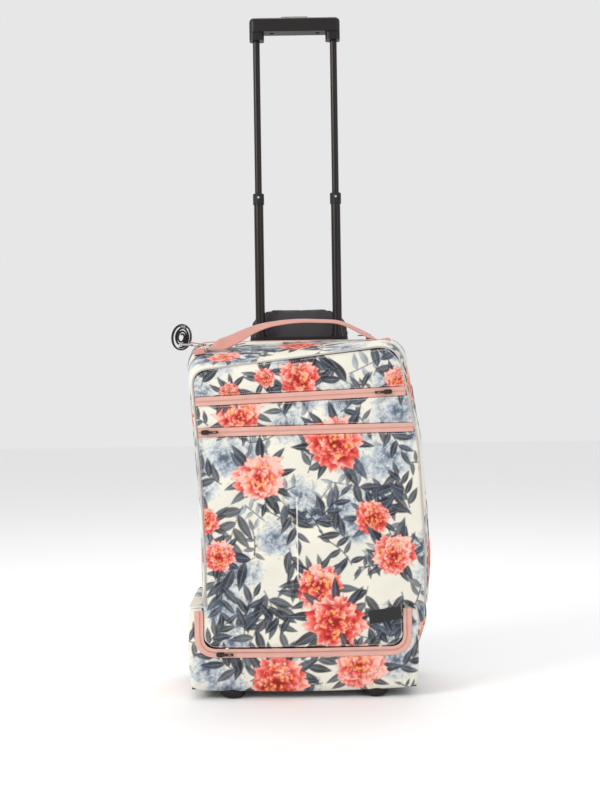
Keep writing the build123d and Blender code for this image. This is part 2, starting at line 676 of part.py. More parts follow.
zl, zr = top_z(strap_left_x, strap_y), top_z(strap_right_x, strap_y)
al, ar = zl + strap_clear, zr + strap_clear
mid = max(al, ar) + strap_rise
path = FilletPolyline((strap_left_x, al), (strap_left_x + 34, al + 6), (-62, mid - 6), (-6, mid),
                      (70, mid - 3), (strap_right_x - 18, ar + 10), (strap_right_x, ar), radius=24)
plane = Plane((0, strap_y + strap_width / 2, 0), x_dir=(1, 0, 0), z_dir=(0, -1, 0))
line = plane * path
ribbon = extrude(make_face(plane * offset(path, strap_t / 2)), amount=strap_width, dir=(0, -1, 0))
save("grab_handle", ribbon)
anchors = []
for x, z, way in ((strap_left_x, zl, -1), (strap_right_x, zr, 1)):
    low_z = z - 2.0
    a0, a1 = sorted((x + way * 2.6, x + way * 20))
    patch = block(a0, a1, strap_y - strap_width / 2, strap_y + strap_width / 2, low_z, z + strap_clear + 1.5)
    anchors.append(patch - cover_outer)
save("handle_anchors", *anchors)

# ---- ring, tab and short strap loop on the left top corner ----
ring_x, ring_y = -half, 30.0
ring_z = top_z(-half, ring_y) + 6.0
t0 = (ring_y - front_y) / (main_zip_y - front_y)
rod_a = rod(ring_x, ring_y - ring_span / 2, ring_z, ring_rod_r, ring_span, "Y")
arm_len = ring_reach
arm_1 = rod(ring_x - arm_len, ring_y - ring_span / 2, ring_z, ring_rod_r, arm_len, "X")
arm_2 = rod(ring_x - arm_len, ring_y + ring_span / 2, ring_z, ring_rod_r, arm_len, "X")
far = rod(ring_x - arm_len, ring_y - ring_span / 2, ring_z, ring_rod_r, ring_span, "Y")
corners = [Pos(px, py, ring_z) * Sphere(ring_rod_r)
           for px in (ring_x, ring_x - arm_len) for py in (ring_y - ring_span / 2, ring_y + ring_span / 2)]
d_ring = rod_a + arm_1 + arm_2 + far + corners[0] + corners[1] + corners[2] + corners[3]
tab = ring(ring_x, ring_y - 8, ring_z, ring_rod_r + 2.2, ring_rod_r + running_gap, 16, "Y")
tail = block(ring_x + 1.0, ring_x + 24, ring_y - 8, ring_y + 8, ring_z - ring_rod_r - 2.2, ring_z - ring_rod_r - 0.3)
tab = (tab + tail) - cover_outer
save("ring_tab", tab.solids().sort_by(SortBy.VOLUME)[-1])
save("side_ring", d_ring)
loop_inner = loop_height - 2 * loop_wall
loop_up = loop_height / 2 - loop_wall - ring_rod_r - panel_gap
place = Pos(ring_x - arm_len, ring_y, ring_z) * Rot(0, loop_lean, 0) * Pos(0, 0, loop_length / 2 - loop_height / 2 + loop_up)
turned = Rot(90, 0, 0) * Rot(0, 0, 90)
oval = extrude(turned * SlotOverall(loop_length, loop_height), amount=loop_width / 2, both=True)
hole = extrude(turned * SlotOverall(loop_length - 2 * loop_wall, loop_inner), amount=loop_width, both=True)
bar_end = Pos(0, 0, loop_length / 2 - loop_wall / 2) * Box(9, loop_width + 6, loop_wall + 2.5)
save("strap_loop", place * (oval - hole - bar_end))
bar_end = place * bar_end
save("strap_slider", bar_end)
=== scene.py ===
# %% [markdown]
# # A soft cabin trolley bag
# The bag is cloth over a light frame: a printed body with pink zips, a dark padded flap, webbing
# handles, and a telescopic handle on two wheels. The metal and plastic pieces come from the CAD
# model, which is loaded first and never moved. Everything made of cloth is built here.

# %% Load the frame
import math

import bmesh
import bpy
import numpy as np
from mathutils import Matrix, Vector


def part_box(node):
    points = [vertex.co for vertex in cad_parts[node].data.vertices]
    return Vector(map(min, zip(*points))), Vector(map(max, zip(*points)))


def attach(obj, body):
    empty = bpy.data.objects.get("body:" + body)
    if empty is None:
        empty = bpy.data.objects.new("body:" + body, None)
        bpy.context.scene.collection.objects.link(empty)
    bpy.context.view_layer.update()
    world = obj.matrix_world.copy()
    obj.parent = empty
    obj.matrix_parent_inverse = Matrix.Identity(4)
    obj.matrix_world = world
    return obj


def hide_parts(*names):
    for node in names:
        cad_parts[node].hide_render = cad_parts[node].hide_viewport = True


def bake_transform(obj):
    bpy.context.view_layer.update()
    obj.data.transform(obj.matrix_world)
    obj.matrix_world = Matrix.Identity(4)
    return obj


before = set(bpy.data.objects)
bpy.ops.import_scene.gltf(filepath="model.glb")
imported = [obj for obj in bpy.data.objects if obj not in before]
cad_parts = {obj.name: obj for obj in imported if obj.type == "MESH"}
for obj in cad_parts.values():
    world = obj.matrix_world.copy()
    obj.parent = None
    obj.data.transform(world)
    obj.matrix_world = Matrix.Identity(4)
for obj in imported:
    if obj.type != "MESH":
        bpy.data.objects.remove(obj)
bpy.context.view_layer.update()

# %% [markdown]
# Cloth is drawn in millimetres, because seams, tapes and stitches are thought of that way. Every
# piece is a surface: a grid of points with two parameters. One helper turns such a grid into a mesh
# with a UV map in tenths of a metre along the cloth, and with any painted colours on its points.

# %% Grid to mesh
MM = 0.001


def grid(n_u, n_v):
    """Two parameters from 0 to 1 on a grid of n_v rows and n_u columns."""
    return np.meshgrid(np.linspace(0.0, 1.0, n_u), np.linspace(0.0, 1.0, n_v))


def ease(x):
    """Smooth step: 3x^2 - 2x^3 between 0 and 1."""
    x = np.clip(x, 0.0, 1.0)
    return x * x * (3.0 - 2.0 * x)


def mix(a, b, t):
    return a + (b - a) * t


def surface(name, points, closed=False, flip=False, keep=None, flat=None, paint=None, extra=None):
    """Mesh of a (rows, columns, 3) grid in mm. closed joins the last column to the first; keep is a
    mask of the quads to make; flat holds the cloth coordinates in mm for the UV map."""
    rows, cols = points.shape[:2]
    index = np.arange(rows * cols).reshape(rows, cols)
    right = np.roll(index, -1, axis=1) if closed else index[:, 1:]
    left = index if closed else index[:, :-1]
    quads = np.stack([left[:-1], right[:-1], right[1:], left[1:]], axis=-1)
    if keep is not None:
        quads = quads[keep]
    quads = quads.reshape(-1, 4)
    if flip:
        quads = quads[:, ::-1]
    mesh = bpy.data.meshes.new(name)
    mesh.from_pydata((points.reshape(-1, 3) * MM).tolist(), [], quads.tolist())
    mesh.polygons.foreach_set("use_smooth", np.ones(len(mesh.polygons), bool))
    if flat is not None:
        loops = np.empty(len(mesh.loops), np.int32)
        mesh.loops.foreach_get("vertex_index", loops)
        uv = mesh.uv_layers.new(name="cloth")
        uv.data.foreach_set("uv", (flat.reshape(-1, 2)[loops] * 0.01).astype(np.float32).ravel())
    if paint is not None:
        layer = mesh.color_attributes.new("print", "FLOAT_COLOR", "POINT")
        rgba = np.concatenate([paint.reshape(-1, 3), np.ones((rows * cols, 1))], axis=1)
        layer.data.foreach_set("color", rgba.astype(np.float32).ravel())
    for key, values in (extra or {}).items():
        mesh.attributes.new(key, "FLOAT", "POINT").data.foreach_set(
            "value", np.broadcast_to(values, (rows, cols)).astype(np.float32).ravel())
    mesh.update()
    piece = bpy.data.objects.new(name, mesh)
    bpy.context.scene.collection.objects.link(piece)
    return piece


def box(node):
    """Lowest and highest corner of a CAD node, in mm."""
    low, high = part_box(node)
    return np.array(low) * 1000.0, np.array(high) * 1000.0


made = []


def finish_piece(piece, material, body, nodes=(), thick=0.0, seam=None):
    """Material, body and replaced CAD nodes of a piece, and a wall thickness inwards. A piece with a
    seam (start, end in mm) is not attached to the body; its transform is baked where it stands."""
    piece.data.materials.append(material)
    if thick:
        wall = piece.modifiers.new("wall", "SOLIDIFY")
        wall.thickness, wall.offset = thick * MM, -1.0
    if seam:
        tuple(c * MM for c in seam[0])
        tuple(c * MM for c in seam[1])
        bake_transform(piece)
    else:
        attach(piece, body)
    if nodes:
        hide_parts(*nodes)
    made.append(piece.name)
    return piece


# %% [markdown]
# ## Shader maths
# A material is a small network of nodes. Written as sums and products of sockets it stays readable,
# so one class wraps a socket and makes a Math node for each operator.

# %% Socket class
class Value:
    """A socket of a material, with + - * / and powers that add Math nodes."""

    def __init__(self, tree, socket):
        self.tree, self.socket = tree, socket

    def _math(self, operation, first, second=None):
        node = self.tree.nodes.new("ShaderNodeMath")
        node.operation = operation
        for slot, item in zip(node.inputs, (first, second)):
            if isinstance(item, Value):
                self.tree.links.new(item.socket, slot)
            elif item is not None:
                slot.default_value = float(item)
        return Value(self.tree, node.outputs[0])

    def __add__(self, other):
        return self._math("ADD", self, other)

    __radd__ = __add__

    def __sub__(self, other):
        return self._math("SUBTRACT", self, other)

    def __rsub__(self, other):
        return self._math("SUBTRACT", other, self)

    def __mul__(self, other):
        return self._math("MULTIPLY", self, other)

    __rmul__ = __mul__

    def __truediv__(self, other):
        return self._math("DIVIDE", self, other)

    def __pow__(self, other):
        return self._math("POWER", self, other)

    def sine(self):
        return self._math("SINE", self)

    def size(self):
        return self._math("ABSOLUTE", self)

    def part(self):
        return self._math("FRACT", self)

    def less(self, other):
        return self._math("LESS_THAN", self, other)


class Finish:
    """A material with one Principled shader, and a method that adds any node to it."""

    def __init__(self, name, **constants):
        self.material = bpy.data.materials.new(name)
        self.material.use_nodes = True
        self.tree = self.material.node_tree
        self.tree.nodes.clear()
        self.shader = self.tree.nodes.new("ShaderNodeBsdfPrincipled")
        out = self.tree.nodes.new("ShaderNodeOutputMaterial")
        self.tree.links.new(self.shader.outputs[0], out.inputs[0])
        for key, value in constants.items():
            self.shader.inputs[key.replace("_", " ")].default_value = value

    def node(self, kind, settings=None, out=0, **sockets):
        """Add a node: its settings first, then the values or links of its sockets."""
        node = self.tree.nodes.new(kind)
        for key, value in (settings or {}).items():
            if key == "stops":
                ramp = node.color_ramp
                while len(ramp.elements) < len(value):
                    ramp.elements.new(0.5)
                for element, (place, colour) in zip(ramp.elements, value):
                    element.position, element.color = place, (*colour, 1.0)
            else:
                setattr(node, key, value)
        for key, value in sockets.items():
            slot = node.inputs[int(key[1:])] if key[1:].isdigit() else node.inputs[key.replace("_", " ")]
            if isinstance(value, Value):
                self.tree.links.new(value.socket, slot)
            else:
                slot.default_value = value
        return Value(self.tree, node.outputs[out])

    def blend(self, kind, factor, first, second):
        """Mix two colours; kind is MIX, MULTIPLY and so on."""
        def colour(item):
            return item if isinstance(item, Value) else (*item, 1.0)
        return self.node("ShaderNodeMix", {"data_type": "RGBA", "blend_type": kind}, out=2,
                         _0=factor, _6=colour(first), _7=colour(second))

    def place(self):
        return self.node("ShaderNodeTexCoord", out=3)

    def cloth(self):
        """The two cloth coordinates in mm."""
        both = self.node("ShaderNodeUVMap", {"uv_map": "cloth"})
        parts = self.tree.nodes.new("ShaderNodeSeparateXYZ")
        self.tree.links.new(both.socket, parts.inputs[0])
        return Value(self.tree, parts.outputs[0]) * 100.0, Value(self.tree, parts.outputs[1]) * 100.0

    def noise(self, scale, detail=3.0, rough=0.55, where=None):
        return self.node("ShaderNodeTexNoise", None, 0, Vector=where or self.place(), Scale=scale,
                         Detail=detail, Roughness=rough)

    def attribute(self, name):
        return self.node("ShaderNodeAttribute", {"attribute_name": name}, out=2)

    def wire(self, **links):
        for key, value in links.items():
            self.tree.links.new(value.socket, self.shader.inputs[key.replace("_", " ")])

    def bump(self, height, strength, distance):
        result = self.node("ShaderNodeBump", None, 0, Height=height, Strength=strength, Distance=distance)
        self.wire(Normal=result)


def light(r, g, b):
    """A screen colour (0 to 255) as linear light."""
    c = np.array([r, g, b]) / 255.0
    return tuple(np.where(c <= 0.04045, c / 12.92, ((c + 0.055) / 1.055) ** 2.4))


# %% [markdown]
# ## The finishes
# Printed polyester has a fine plain weave, a slight sheen and, at each sewn edge, a row of stitches.
# The print itself is painted on the points of each panel, further down, and read here as a colour.

# %% Cloth finishes
def plain_weave(finish, pitch):
    """Height of a plain weave: the product of two sine waves, over and under."""
    u, v = finish.cloth()
    k = 2.0 * math.pi / pitch
    return (u * k).sine() * (v * k).sine()


def stitch_line(finish, edge, along, inset, pitch=3.4, width=0.45):
    """1 on a row of stitches that lies a set distance in from a sewn edge."""
    near = (edge - inset).size().less(width)
    return near * (along / pitch).part().less(0.62)


def printed_cloth():
    f = Finish("printed_polyester", Specular_IOR_Level=0.3, Sheen_Weight=0.02, Sheen_Roughness=0.5)
    u, v = f.cloth()
    painted = f.node("ShaderNodeAttribute", {"attribute_name": "print"}, out=0)
    weave = plain_weave(f, 0.9)
    soft = f.noise(22.0, 4.0, 0.6)
    shade = f.blend("MULTIPLY", 0.35, painted, f.node(
        "ShaderNodeValToRGB", {"stops": [(0.25, (0.78, 0.78, 0.80)), (0.75, (1.0, 1.0, 0.99))]}, 0, Fac=soft))
    edge = f.attribute("edge")
    row = stitch_line(f, edge, u + v, 2.4)
    f.wire(Base_Color=f.blend("MIX", row * 0.75, shade, light(226, 206, 196)),
           Roughness=0.56 + weave * 0.04 + soft * 0.12)
    f.bump(weave * 0.25 + row * 1.2 + f.noise(60.0, 5.0, 0.6) * 1.6, 0.35, 0.0012)
    return f.material


def nylon(name, colour, ridge=0.5, pitch=1.1):
    """Ripstop nylon: weave with a square of heavier threads every few millimetres."""
    f = Finish(name, Sheen_Weight=0.2, Sheen_Roughness=0.4)
    u, v = f.cloth()
    cells = (u / 5.0).part().less(0.09) + (v / 5.0).part().less(0.09)
    soft = f.noise(30.0, 5.0, 0.65)
    deep, pale = light(*colour), light(*[min(c * 1.45 + 8, 255) for c in colour])
    f.wire(Base_Color=f.blend("MIX", soft, deep, pale), Roughness=0.42 + soft * 0.22)
    f.bump(plain_weave(f, pitch) * 0.3 + cells * 0.4 + f.noise(45.0, 6.0, 0.6) * ridge * 3.0, 0.4, 0.0012)
    return f.material


def webbing(name, colour, rib=2.2):
    """Woven strap: ribs across the strap, a herringbone slant in them, and a row of paler stitches near each
    edge.
    """
    f = Finish(name, Sheen_Weight=0.15, Sheen_Roughness=0.5)
    u, v = f.cloth()
    slant = (u * (2.0 * math.pi / rib) + (v * (math.pi / 2.4)).sine() * 1.6).sine()
    soft = f.noise(55.0, 4.0, 0.6)
    edge = f.attribute("edge")
    row = stitch_line(f, edge, u, 2.6, 3.0, 0.4)
    deep, pale = light(*[c * 0.80 for c in colour]), light(*[min(c * 1.08, 255) for c in colour])
    tone = f.blend("MIX", soft * 0.6 + slant * 0.2 + 0.2, deep, pale)
    f.wire(Base_Color=f.blend("MIX", row * 0.5, tone, light(*[min(c * 1.2, 255) for c in colour])),
           Roughness=0.66 + soft * 0.15)
    f.bump(slant * 0.5 + row * 0.8 + soft * 0.6, 0.5, 0.0010)
    return f.material


def zip_tape():
    """Zip: two woven tapes with the coil hidden under a fold, so a fine ridge shows in the middle; the slit
    between them is painted dark as shade.
    """
    f = Finish("pink_zip_tape", Sheen_Weight=0.1, Sheen_Roughness=0.5)
    u, v = f.cloth()
    coil = v.size().less(1.5)
    tooth = (u * (2.0 * math.pi / 1.5)).sine()
    ribs = (v * (2.0 * math.pi / 1.3)).sine()
    soft = f.noise(40.0, 4.0, 0.6)
    # Painted shade: a thin dark line down the slit where the two tapes meet over the coil.
    gap = v.size().less(0.35)
    base = f.blend("MIX", soft, light(205, 150, 138), light(228, 180, 166))
    shaded = f.blend("MIX", gap * 0.55, base, light(140, 90, 84))
    f.wire(Base_Color=f.blend("MIX", coil * 0.22 * (tooth * 0.5 + 0.5), shaded, light(160, 105, 96)),
           Roughness=0.60 + soft * 0.15)
    f.bump(ribs * 0.25 + coil * (tooth * 0.5 + 0.9) + soft * 0.4, 0.5, 0.0009)
    return f.material


PRINTED = printed_cloth()
DARK_NYLON = nylon("dark_nylon", (40, 37, 40), 0.9)
BACK_NYLON = nylon("back_panel_nylon", (40, 40, 44), 0.3)
LINING = nylon("grey_lining", (112, 110, 114), 0.3, 1.6)
PINK_WEBBING = webbing("pink_webbing", (214, 152, 140))
BLACK_WEBBING = webbing("black_webbing", (34, 33, 35))
ZIP = zip_tape()
print("cloth finishes made")

# %% [markdown]
# Moulded plastic has a fine pebble grain and is duller where hands and floors rub it. The tubes are
# black anodised aluminium, with faint drawing lines along them and worn, brighter streaks.

# %% Hard finishes
def plastic(name, colour, rough=0.45, grain=900.0, depth=0.25):
    f = Finish(name)
    paler = f.noise(26.0, 6.0, 0.7)
    fine = f.noise(grain, 2.0, 0.5)
    deep, pale = light(*colour), light(*[min(c * 1.5 + 10, 255) for c in colour])
    f.shader.inputs["Specular IOR Level"].default_value = 0.35
    f.wire(Base_Color=f.blend("MIX", paler ** 3.0, deep, pale), Roughness=rough + paler * 0.18)
    f.bump(fine, depth, 0.0004)
    return f.material


def drawn_metal(name, colour, metallic=0.9, rough=0.28, streak=0.5, way=(1.0, 1.0, 0.02)):
    """Drawn metal: noise stretched along the tube, so lines run its length."""
    f = Finish(name, Metallic=metallic)
    stretched = f.node("ShaderNodeMapping", {"vector_type": "POINT"}, 0, Vector=f.place(), Scale=way)
    lines = f.noise(420.0, 3.0, 0.6, stretched)
    paler = f.noise(9.0, 5.0, 0.6)
    deep, pale = light(*colour), light(*[min(c * 1.6 + 14, 255) for c in colour])
    f.wire(Base_Color=f.blend("MIX", lines * streak * paler, deep, pale),
           Roughness=rough + lines * 0.12 + paler * 0.10)
    f.bump(lines, 0.12, 0.0003)
    return f.material


def rubber():
    f = Finish("tyre_rubber")
    dust = f.noise(40.0, 6.0, 0.7)
    f.wire(Base_Color=f.blend("MIX", dust ** 2.0, light(26, 26, 27), light(92, 88, 82)),
           Roughness=0.72 + dust * 0.2)
    f.bump(f.noise(700.0, 2.0, 0.5), 0.3, 0.0005)
    return f.material


TUBE = drawn_metal("black_anodised_tube", (30, 26, 24), 0.55, 0.22, 0.5)
STEEL = drawn_metal("bright_steel", (188, 188, 190), 1.0, 0.22, 0.3, (1.0, 1.0, 1.0))
ZIP_METAL = drawn_metal("dark_zip_metal", (58, 52, 50), 0.85, 0.33, 0.4, (1.0, 1.0, 1.0))
BLACK_PLASTIC = plastic("black_plastic", (16, 15, 15))
GRIP_PLASTIC = plastic("grip_plastic", (17, 14, 13), 0.34, 500.0, 0.15)
GREY_PLASTIC = plastic("grey_plastic", (128, 127, 130), 0.4)
BOARD = plastic("board_plastic", (62, 62, 64), 0.5)
RUBBER = rubber()

# %% CAD nodes that keep their shape
KEEP = (
    (TUBE, "outer_tubes middle_tubes inner_tubes"),
    (BLACK_PLASTIC, "stage_collars outer_tube_bushes middle_tube_bushes inner_tube_bushes handle_bezel "
        "handle_foot_bracket tube_clamps wheel_housings front_feet"),
    (STEEL, "lock_pins clamp_rivets grip_screws wheel_axles wheel_bearings_left "
        "wheel_bearings_right housing_screws foot_screws side_ring"),
    (GRIP_PLASTIC, "grip_lower grip_upper"),
    (GREY_PLASTIC, "release_button wheel_hub_left wheel_hub_right strap_slider"),
    (RUBBER, "tyre_left tyre_right"),
    (BOARD, "back_board base_board"),
    (ZIP_METAL, "upper_zip_slider upper_zip_pull lower_zip_slider lower_zip_pull base_zip_slider "
        "base_zip_pull main_zip_slider main_zip_pull"),
)
kept = [(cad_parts[node].data, material) for material, names in KEEP for node in names.split()]
for mesh, material in kept:
    mesh.materials.clear()
    mesh.materials.append(material)
print(len(kept), "CAD nodes given a finish")

# %% [markdown]
# ## The print
# The cloth is cream with pale blue shadow flowers, dark pointed leaves in sprays, and coral peonies.
# Each motif is a small formula on the flat cloth coordinates, painted over what is already there:
# a leaf is an almond with a midrib, a peony is six rings of notched petals, each ring smaller, each
# petal dark at its base and pale at its rim. Placing the large flowers one by one gives the panels
# their balance; the rest are scattered with a fixed seed.

# %% Painting on cloth
CREAM, PALE = light(238, 233, 218), light(216, 216, 206)
CHARCOAL, SLATE, FOG, MIST = light(34, 35, 42), light(86, 98, 116), light(160, 173, 186), light(212, 220, 224)
CRIMSON, RED, CORAL = light(150, 22, 24), light(206, 48, 40), light(232, 92, 80)
PINK, BLUSH, GOLD = light(244, 146, 134), light(252, 196, 180), light(246, 172, 92)


def ripple(p, q, seed, scale):
    """Smooth noise between -1 and 1: the mean of six sine waves in seeded directions."""
    rng = np.random.default_rng(seed)
    total = np.zeros_like(p)
    for _ in range(6):
        turn, phase = rng.uniform(0, 2 * np.pi, 2)
        k = rng.uniform(0.6, 1.7) * 2 * np.pi / scale
        total += np.sin(k * (p * np.cos(turn) + q * np.sin(turn)) + phase)
    return total / 6.0


class Print:
    """A bolt of cloth painted on a regular canvas in mm; panels are cut from it by their flat
    coordinates, so motifs run on from one panel to the next."""

    def __init__(self, low_a, high_a, low_b, high_b, seed, step=0.85):
        self.seed, self.step, self.rng = seed, step, np.random.default_rng(seed)
        self.across, self.up = np.arange(low_a, high_a, step), np.arange(low_b, high_b, step)
        a, b = np.meshgrid(self.across, self.up)
        self.shape, self.a, self.b = a.shape, a.ravel(), b.ravel()
        tone = ease(ripple(self.a, self.b, seed, 150.0) * 0.5 + 0.5)[:, None]
        self.colour = mix(np.array(CREAM), np.array(PALE), tone * 0.6)

    def near(self, a, b, reach):
        """Canvas points in a square about a place."""
        def span(line, middle):
            ends = [(middle - reach - line[0]) / self.step, (middle + reach - line[0]) / self.step + 1]
            return np.clip(ends, 0, len(line)).astype(int)

        (i0, i1), (j0, j1) = span(self.across, a), span(self.up, b)
        return (np.arange(j0, j1)[:, None] * len(self.across) + np.arange(i0, i1)[None]).ravel()

    def cut(self, a, b):
        """Colours at flat coordinates, by bilinear sampling."""
        i = np.clip((a - self.across[0]) / self.step, 0, len(self.across) - 1.001)
        j = np.clip((b - self.up[0]) / self.step, 0, len(self.up) - 1.001)
        i0, j0 = i.astype(int), j.astype(int)
        canvas, fi, fj = self.colour.reshape(*self.shape, 3), (i - i0)[..., None], (j - j0)[..., None]
        below, above = [mix(canvas[j, i0], canvas[j, i0 + 1], fi) for j in (j0, j0 + 1)]
        return mix(below, above, fj)

    def lay(self, where, colour, cover):
        self.colour[where] += (colour - self.colour[where]) * cover[:, None]

    def leaf(self, a, b, angle, length, width, dark=1.0):
        """Almond: half width = width / 2 * sin(pi t^0.75), so it is widest below the middle and ends
        in a point; one half is darker, with a pale midrib and slanting veins."""
        at = self.near(a, b, length * 1.1)
        if not len(at):
            return
        da, db = self.a[at] - a, self.b[at] - b
        t = (da * np.cos(angle) + db * np.sin(angle)) / length
        side = -da * np.sin(angle) + db * np.cos(angle) - self.rng.uniform(-0.5, 0.5) * width * t * t
        half = width * 0.5 * np.sin(np.pi * np.clip(t, 0.0, 1.0) ** 0.75)
        cover = ease((half - np.abs(side)) / 0.9 + 0.5) * ((t > 0) & (t < 1))
        vein = np.abs(np.sin((t * 6.0 - np.abs(side) / width * 2.0) * np.pi)) ** 8
        tone = 0.08 + 0.16 * np.sign(side) + 0.18 * np.sin(7 * t + a) + 0.2 * vein + 0.75 * (1 - dark)
        tone = np.clip(tone, 0, 1)
        base = mix(np.array(CHARCOAL), np.array(SLATE if dark > 0.5 else FOG), tone[:, None])
        rib = ease(1.0 - np.abs(side) / 0.7)[:, None] * 0.5
        self.lay(at, mix(base, np.array(FOG), rib), cover * mix(0.6, 0.97, min(dark, 1.0)))

    def stalk(self, a, b, angle, length, bend, dark):
        """Thin curved stalk; gives back where it runs and its direction."""
        t = np.linspace(0, 1, 24)
        turn = angle + bend * t
        xs, ys = a + np.cumsum(np.cos(turn)) * length / 24, b + np.cumsum(np.sin(turn)) * length / 24
        at = self.near(xs.mean(), ys.mean(), length * 0.75)
        if len(at):
            gap = np.min(np.hypot(self.a[at][:, None] - xs, self.b[at][:, None] - ys), axis=1)
            self.lay(at, np.array(CHARCOAL if dark > 0.5 else SLATE), ease(1.6 - gap) * 0.9)
        return xs, ys, turn

    def spray(self, a, b, angle, size, count=7, spread=1.0, dark=0.95):
        """Leaves in turn left and right of a curved stalk, smaller towards its end."""
        xs, ys, turn = self.stalk(a, b, angle, size * 1.25, self.rng.uniform(-0.7, 0.7), dark)
        for i in range(count):
            k = int(2 + 21 * i / max(count - 1, 1))
            side = 0.0 if i == count - 1 else (1 if i % 2 else -1) * self.rng.uniform(0.55, 0.95) * spread
            long = size * self.rng.uniform(0.62, 0.85) * (1.0 - 0.25 * i / count)
            wide = long * self.rng.uniform(0.30, 0.38)
            self.leaf(xs[k], ys[k], turn[k] + side, long, wide, dark * self.rng.uniform(0.75, 1.05))

    def petal(self, a, b, angle, length, width, shades, lit, strength=1.0):
        """Fan with a notched rim: dark at its base, paler to the rim, streaked along, and with a soft
        shadow round it that sets it off from the petals below."""
        at = self.near(a, b, length * 1.25 + 2)
        if not len(at):
            return
        da, db = self.a[at] - a, self.b[at] - b
        t = (da * np.cos(angle) + db * np.sin(angle)) / length
        side = (-da * np.sin(angle) + db * np.cos(angle)) / (width * 0.5)
        phase = self.rng.uniform(0, 6.28)
        t = t / (1.0 + 0.09 * np.sin(side * 5.5 + phase) + 0.05 * np.sin(side * 13 + phase * 2))
        fan = np.sqrt(np.sin(np.pi * np.clip(t, 0, 1) ** 1.25)) + 0.03
        gap = (fan - np.abs(side)) * width * 0.5
        cover = ease(gap / 1.1 + 0.5) * (t > 0.02) * (t < 1)
        shadow = ease(gap / 3.0 + 1.0) * (t > 0.1) * ease((1.12 - t) / 0.12) * (1 - cover) * 0.5
        self.lay(at, np.array(shades[0]), shadow * strength)
        streak = np.sin(side * 9 + 2 * np.sin(t * 5 + phase))
        heat = np.clip(t, 0, 2) ** 1.7 * 1.1 + 0.12 * streak * t + 0.22 * np.sin(side * 1.6 + phase) + lit
        table, last = np.array(shades), len(shades) - 1
        heat = np.clip(heat, 0, 0.999) * last
        step = heat.astype(int)
        colour = mix(table[step], table[np.minimum(step + 1, last)], (heat - step)[:, None])
        self.lay(at, colour, cover * strength)

    def bloom(self, a, b, size, shades, tone, strength, stretch=1.0):
        """Petals ring by ring from the outside in, each ring shorter, every petal a little different."""
        rings = ((8, 1.0, 0.92), (8, 0.86, 0.80), (8, 0.70, 0.66), (7, 0.54, 0.52), (7, 0.40, 0.36),
                 (6, 0.27, 0.24))
        for ring, (count, reach, wide) in enumerate(rings):
            start = self.rng.uniform(0, 6.28)
            for i in range(count):
                turn = start + 6.283 * (i + self.rng.uniform(-0.3, 0.3)) / count
                long = size * reach * self.rng.uniform(0.82, 1.1)
                off = size * 0.10 * self.rng.uniform(0, 1)
                lit = (tone - 0.5) * 0.5 + 0.14 * np.sin(turn) + self.rng.uniform(-0.14, 0.14) - 0.03 * ring
                self.petal(a + off * np.cos(turn * 3) * stretch, b + off * np.sin(turn * 3), turn, long,
                           size * wide * self.rng.uniform(0.85, 1.15), shades, lit, strength)

    def ghost(self, a, b, size):
        """Shadow flower in pale blues."""
        self.bloom(a, b, size, (SLATE, FOG, MIST, CREAM), 0.42, 0.62)

    def peony(self, a, b, size, tone=0.5, stretch=1.0):
        """Coral flower with gold flecks about its middle."""
        self.bloom(a, b, size, (CRIMSON, RED, CORAL, PINK, BLUSH), tone, 1.0, stretch)
        for _ in range(26):
            turn, far = self.rng.uniform(0, 6.28), size * 0.62 * self.rng.uniform(0.05, 1) ** 0.7
            fa, fb, r = a + far * np.cos(turn), b + far * np.sin(turn), size * self.rng.uniform(0.03, 0.07)
            at = self.near(fa, fb, r * 2)
            if len(at):
                gap = np.hypot(self.a[at] - fa, (self.b[at] - fb) * self.rng.uniform(0.6, 1.6))
                self.lay(at, np.array(GOLD), ease((r - gap) / 1.2 + 0.5) * 0.85)

    def flower(self, a, b, size, tone=0.5, stretch=1.0, leaves=9):
        """A peony on its ring of leaves."""
        for i in range(leaves):
            turn = 6.283 * (i + self.rng.uniform(-0.35, 0.35)) / leaves
            long = max(size, 24.0) * self.rng.uniform(0.8, 1.25)
            self.leaf(a + 0.66 * size * stretch * np.cos(turn), b + 0.66 * size * np.sin(turn),
                      turn + self.rng.uniform(-0.5, 0.5), long, long * 0.32, self.rng.uniform(0.7, 1.05))
        self.peony(a, b, size, tone, stretch)

    def scatter(self, count, kind):
        """Seeded places inside the panel for small motifs."""
        low_a, high_a, low_b, high_b = self.across[0], self.across[-1], self.up[0], self.up[-1]
        for _ in range(count):
            kind(self.rng.uniform(low_a, high_a), self.rng.uniform(low_b, high_b))


def background(p, ghosts, sprays):
    """Shadow flowers first, then grey sprays that look further away, then dark ones."""
    p.scatter(ghosts, lambda a, b: p.ghost(a, b, p.rng.uniform(24, 40)))
    p.scatter(sprays, lambda a, b: p.spray(a, b, p.rng.uniform(0, 6.28), p.rng.uniform(26, 42), 6, 2.4,
                                           p.rng.uniform(0.35, 0.7)))
    p.scatter(sprays, lambda a, b: p.spray(a, b, p.rng.uniform(0, 6.28), p.rng.uniform(26, 44), 6, 2.2))


# %% [markdown]
# ## The soft outline
# Filled but slumped, the body leans: its left side is drawn in at the waist, its right side bulges,
# and the front top edge sinks at the left. The outline is a polygon with rounded corners, worked out
# at any depth between the front wall and the main zip, with the same number of points everywhere, so
# that two outlines can be joined by straight cloth.

# %% Outline of the body
shell_low, shell_high = box("cover_shell")
base_low, base_high = box("base_compartment")
back_low, back_high = box("back_section")
face_y, wall_y, seam_y = box("face_panels")[0][1], shell_low[1], shell_high[1]
bottom_z, rear_top = shell_low[2], back_high[2]
half = (base_high[0] - base_low[0]) / 2.0
zip_y = back_low[1]
print("front wall", face_y, "seam", seam_y, "half width", half)


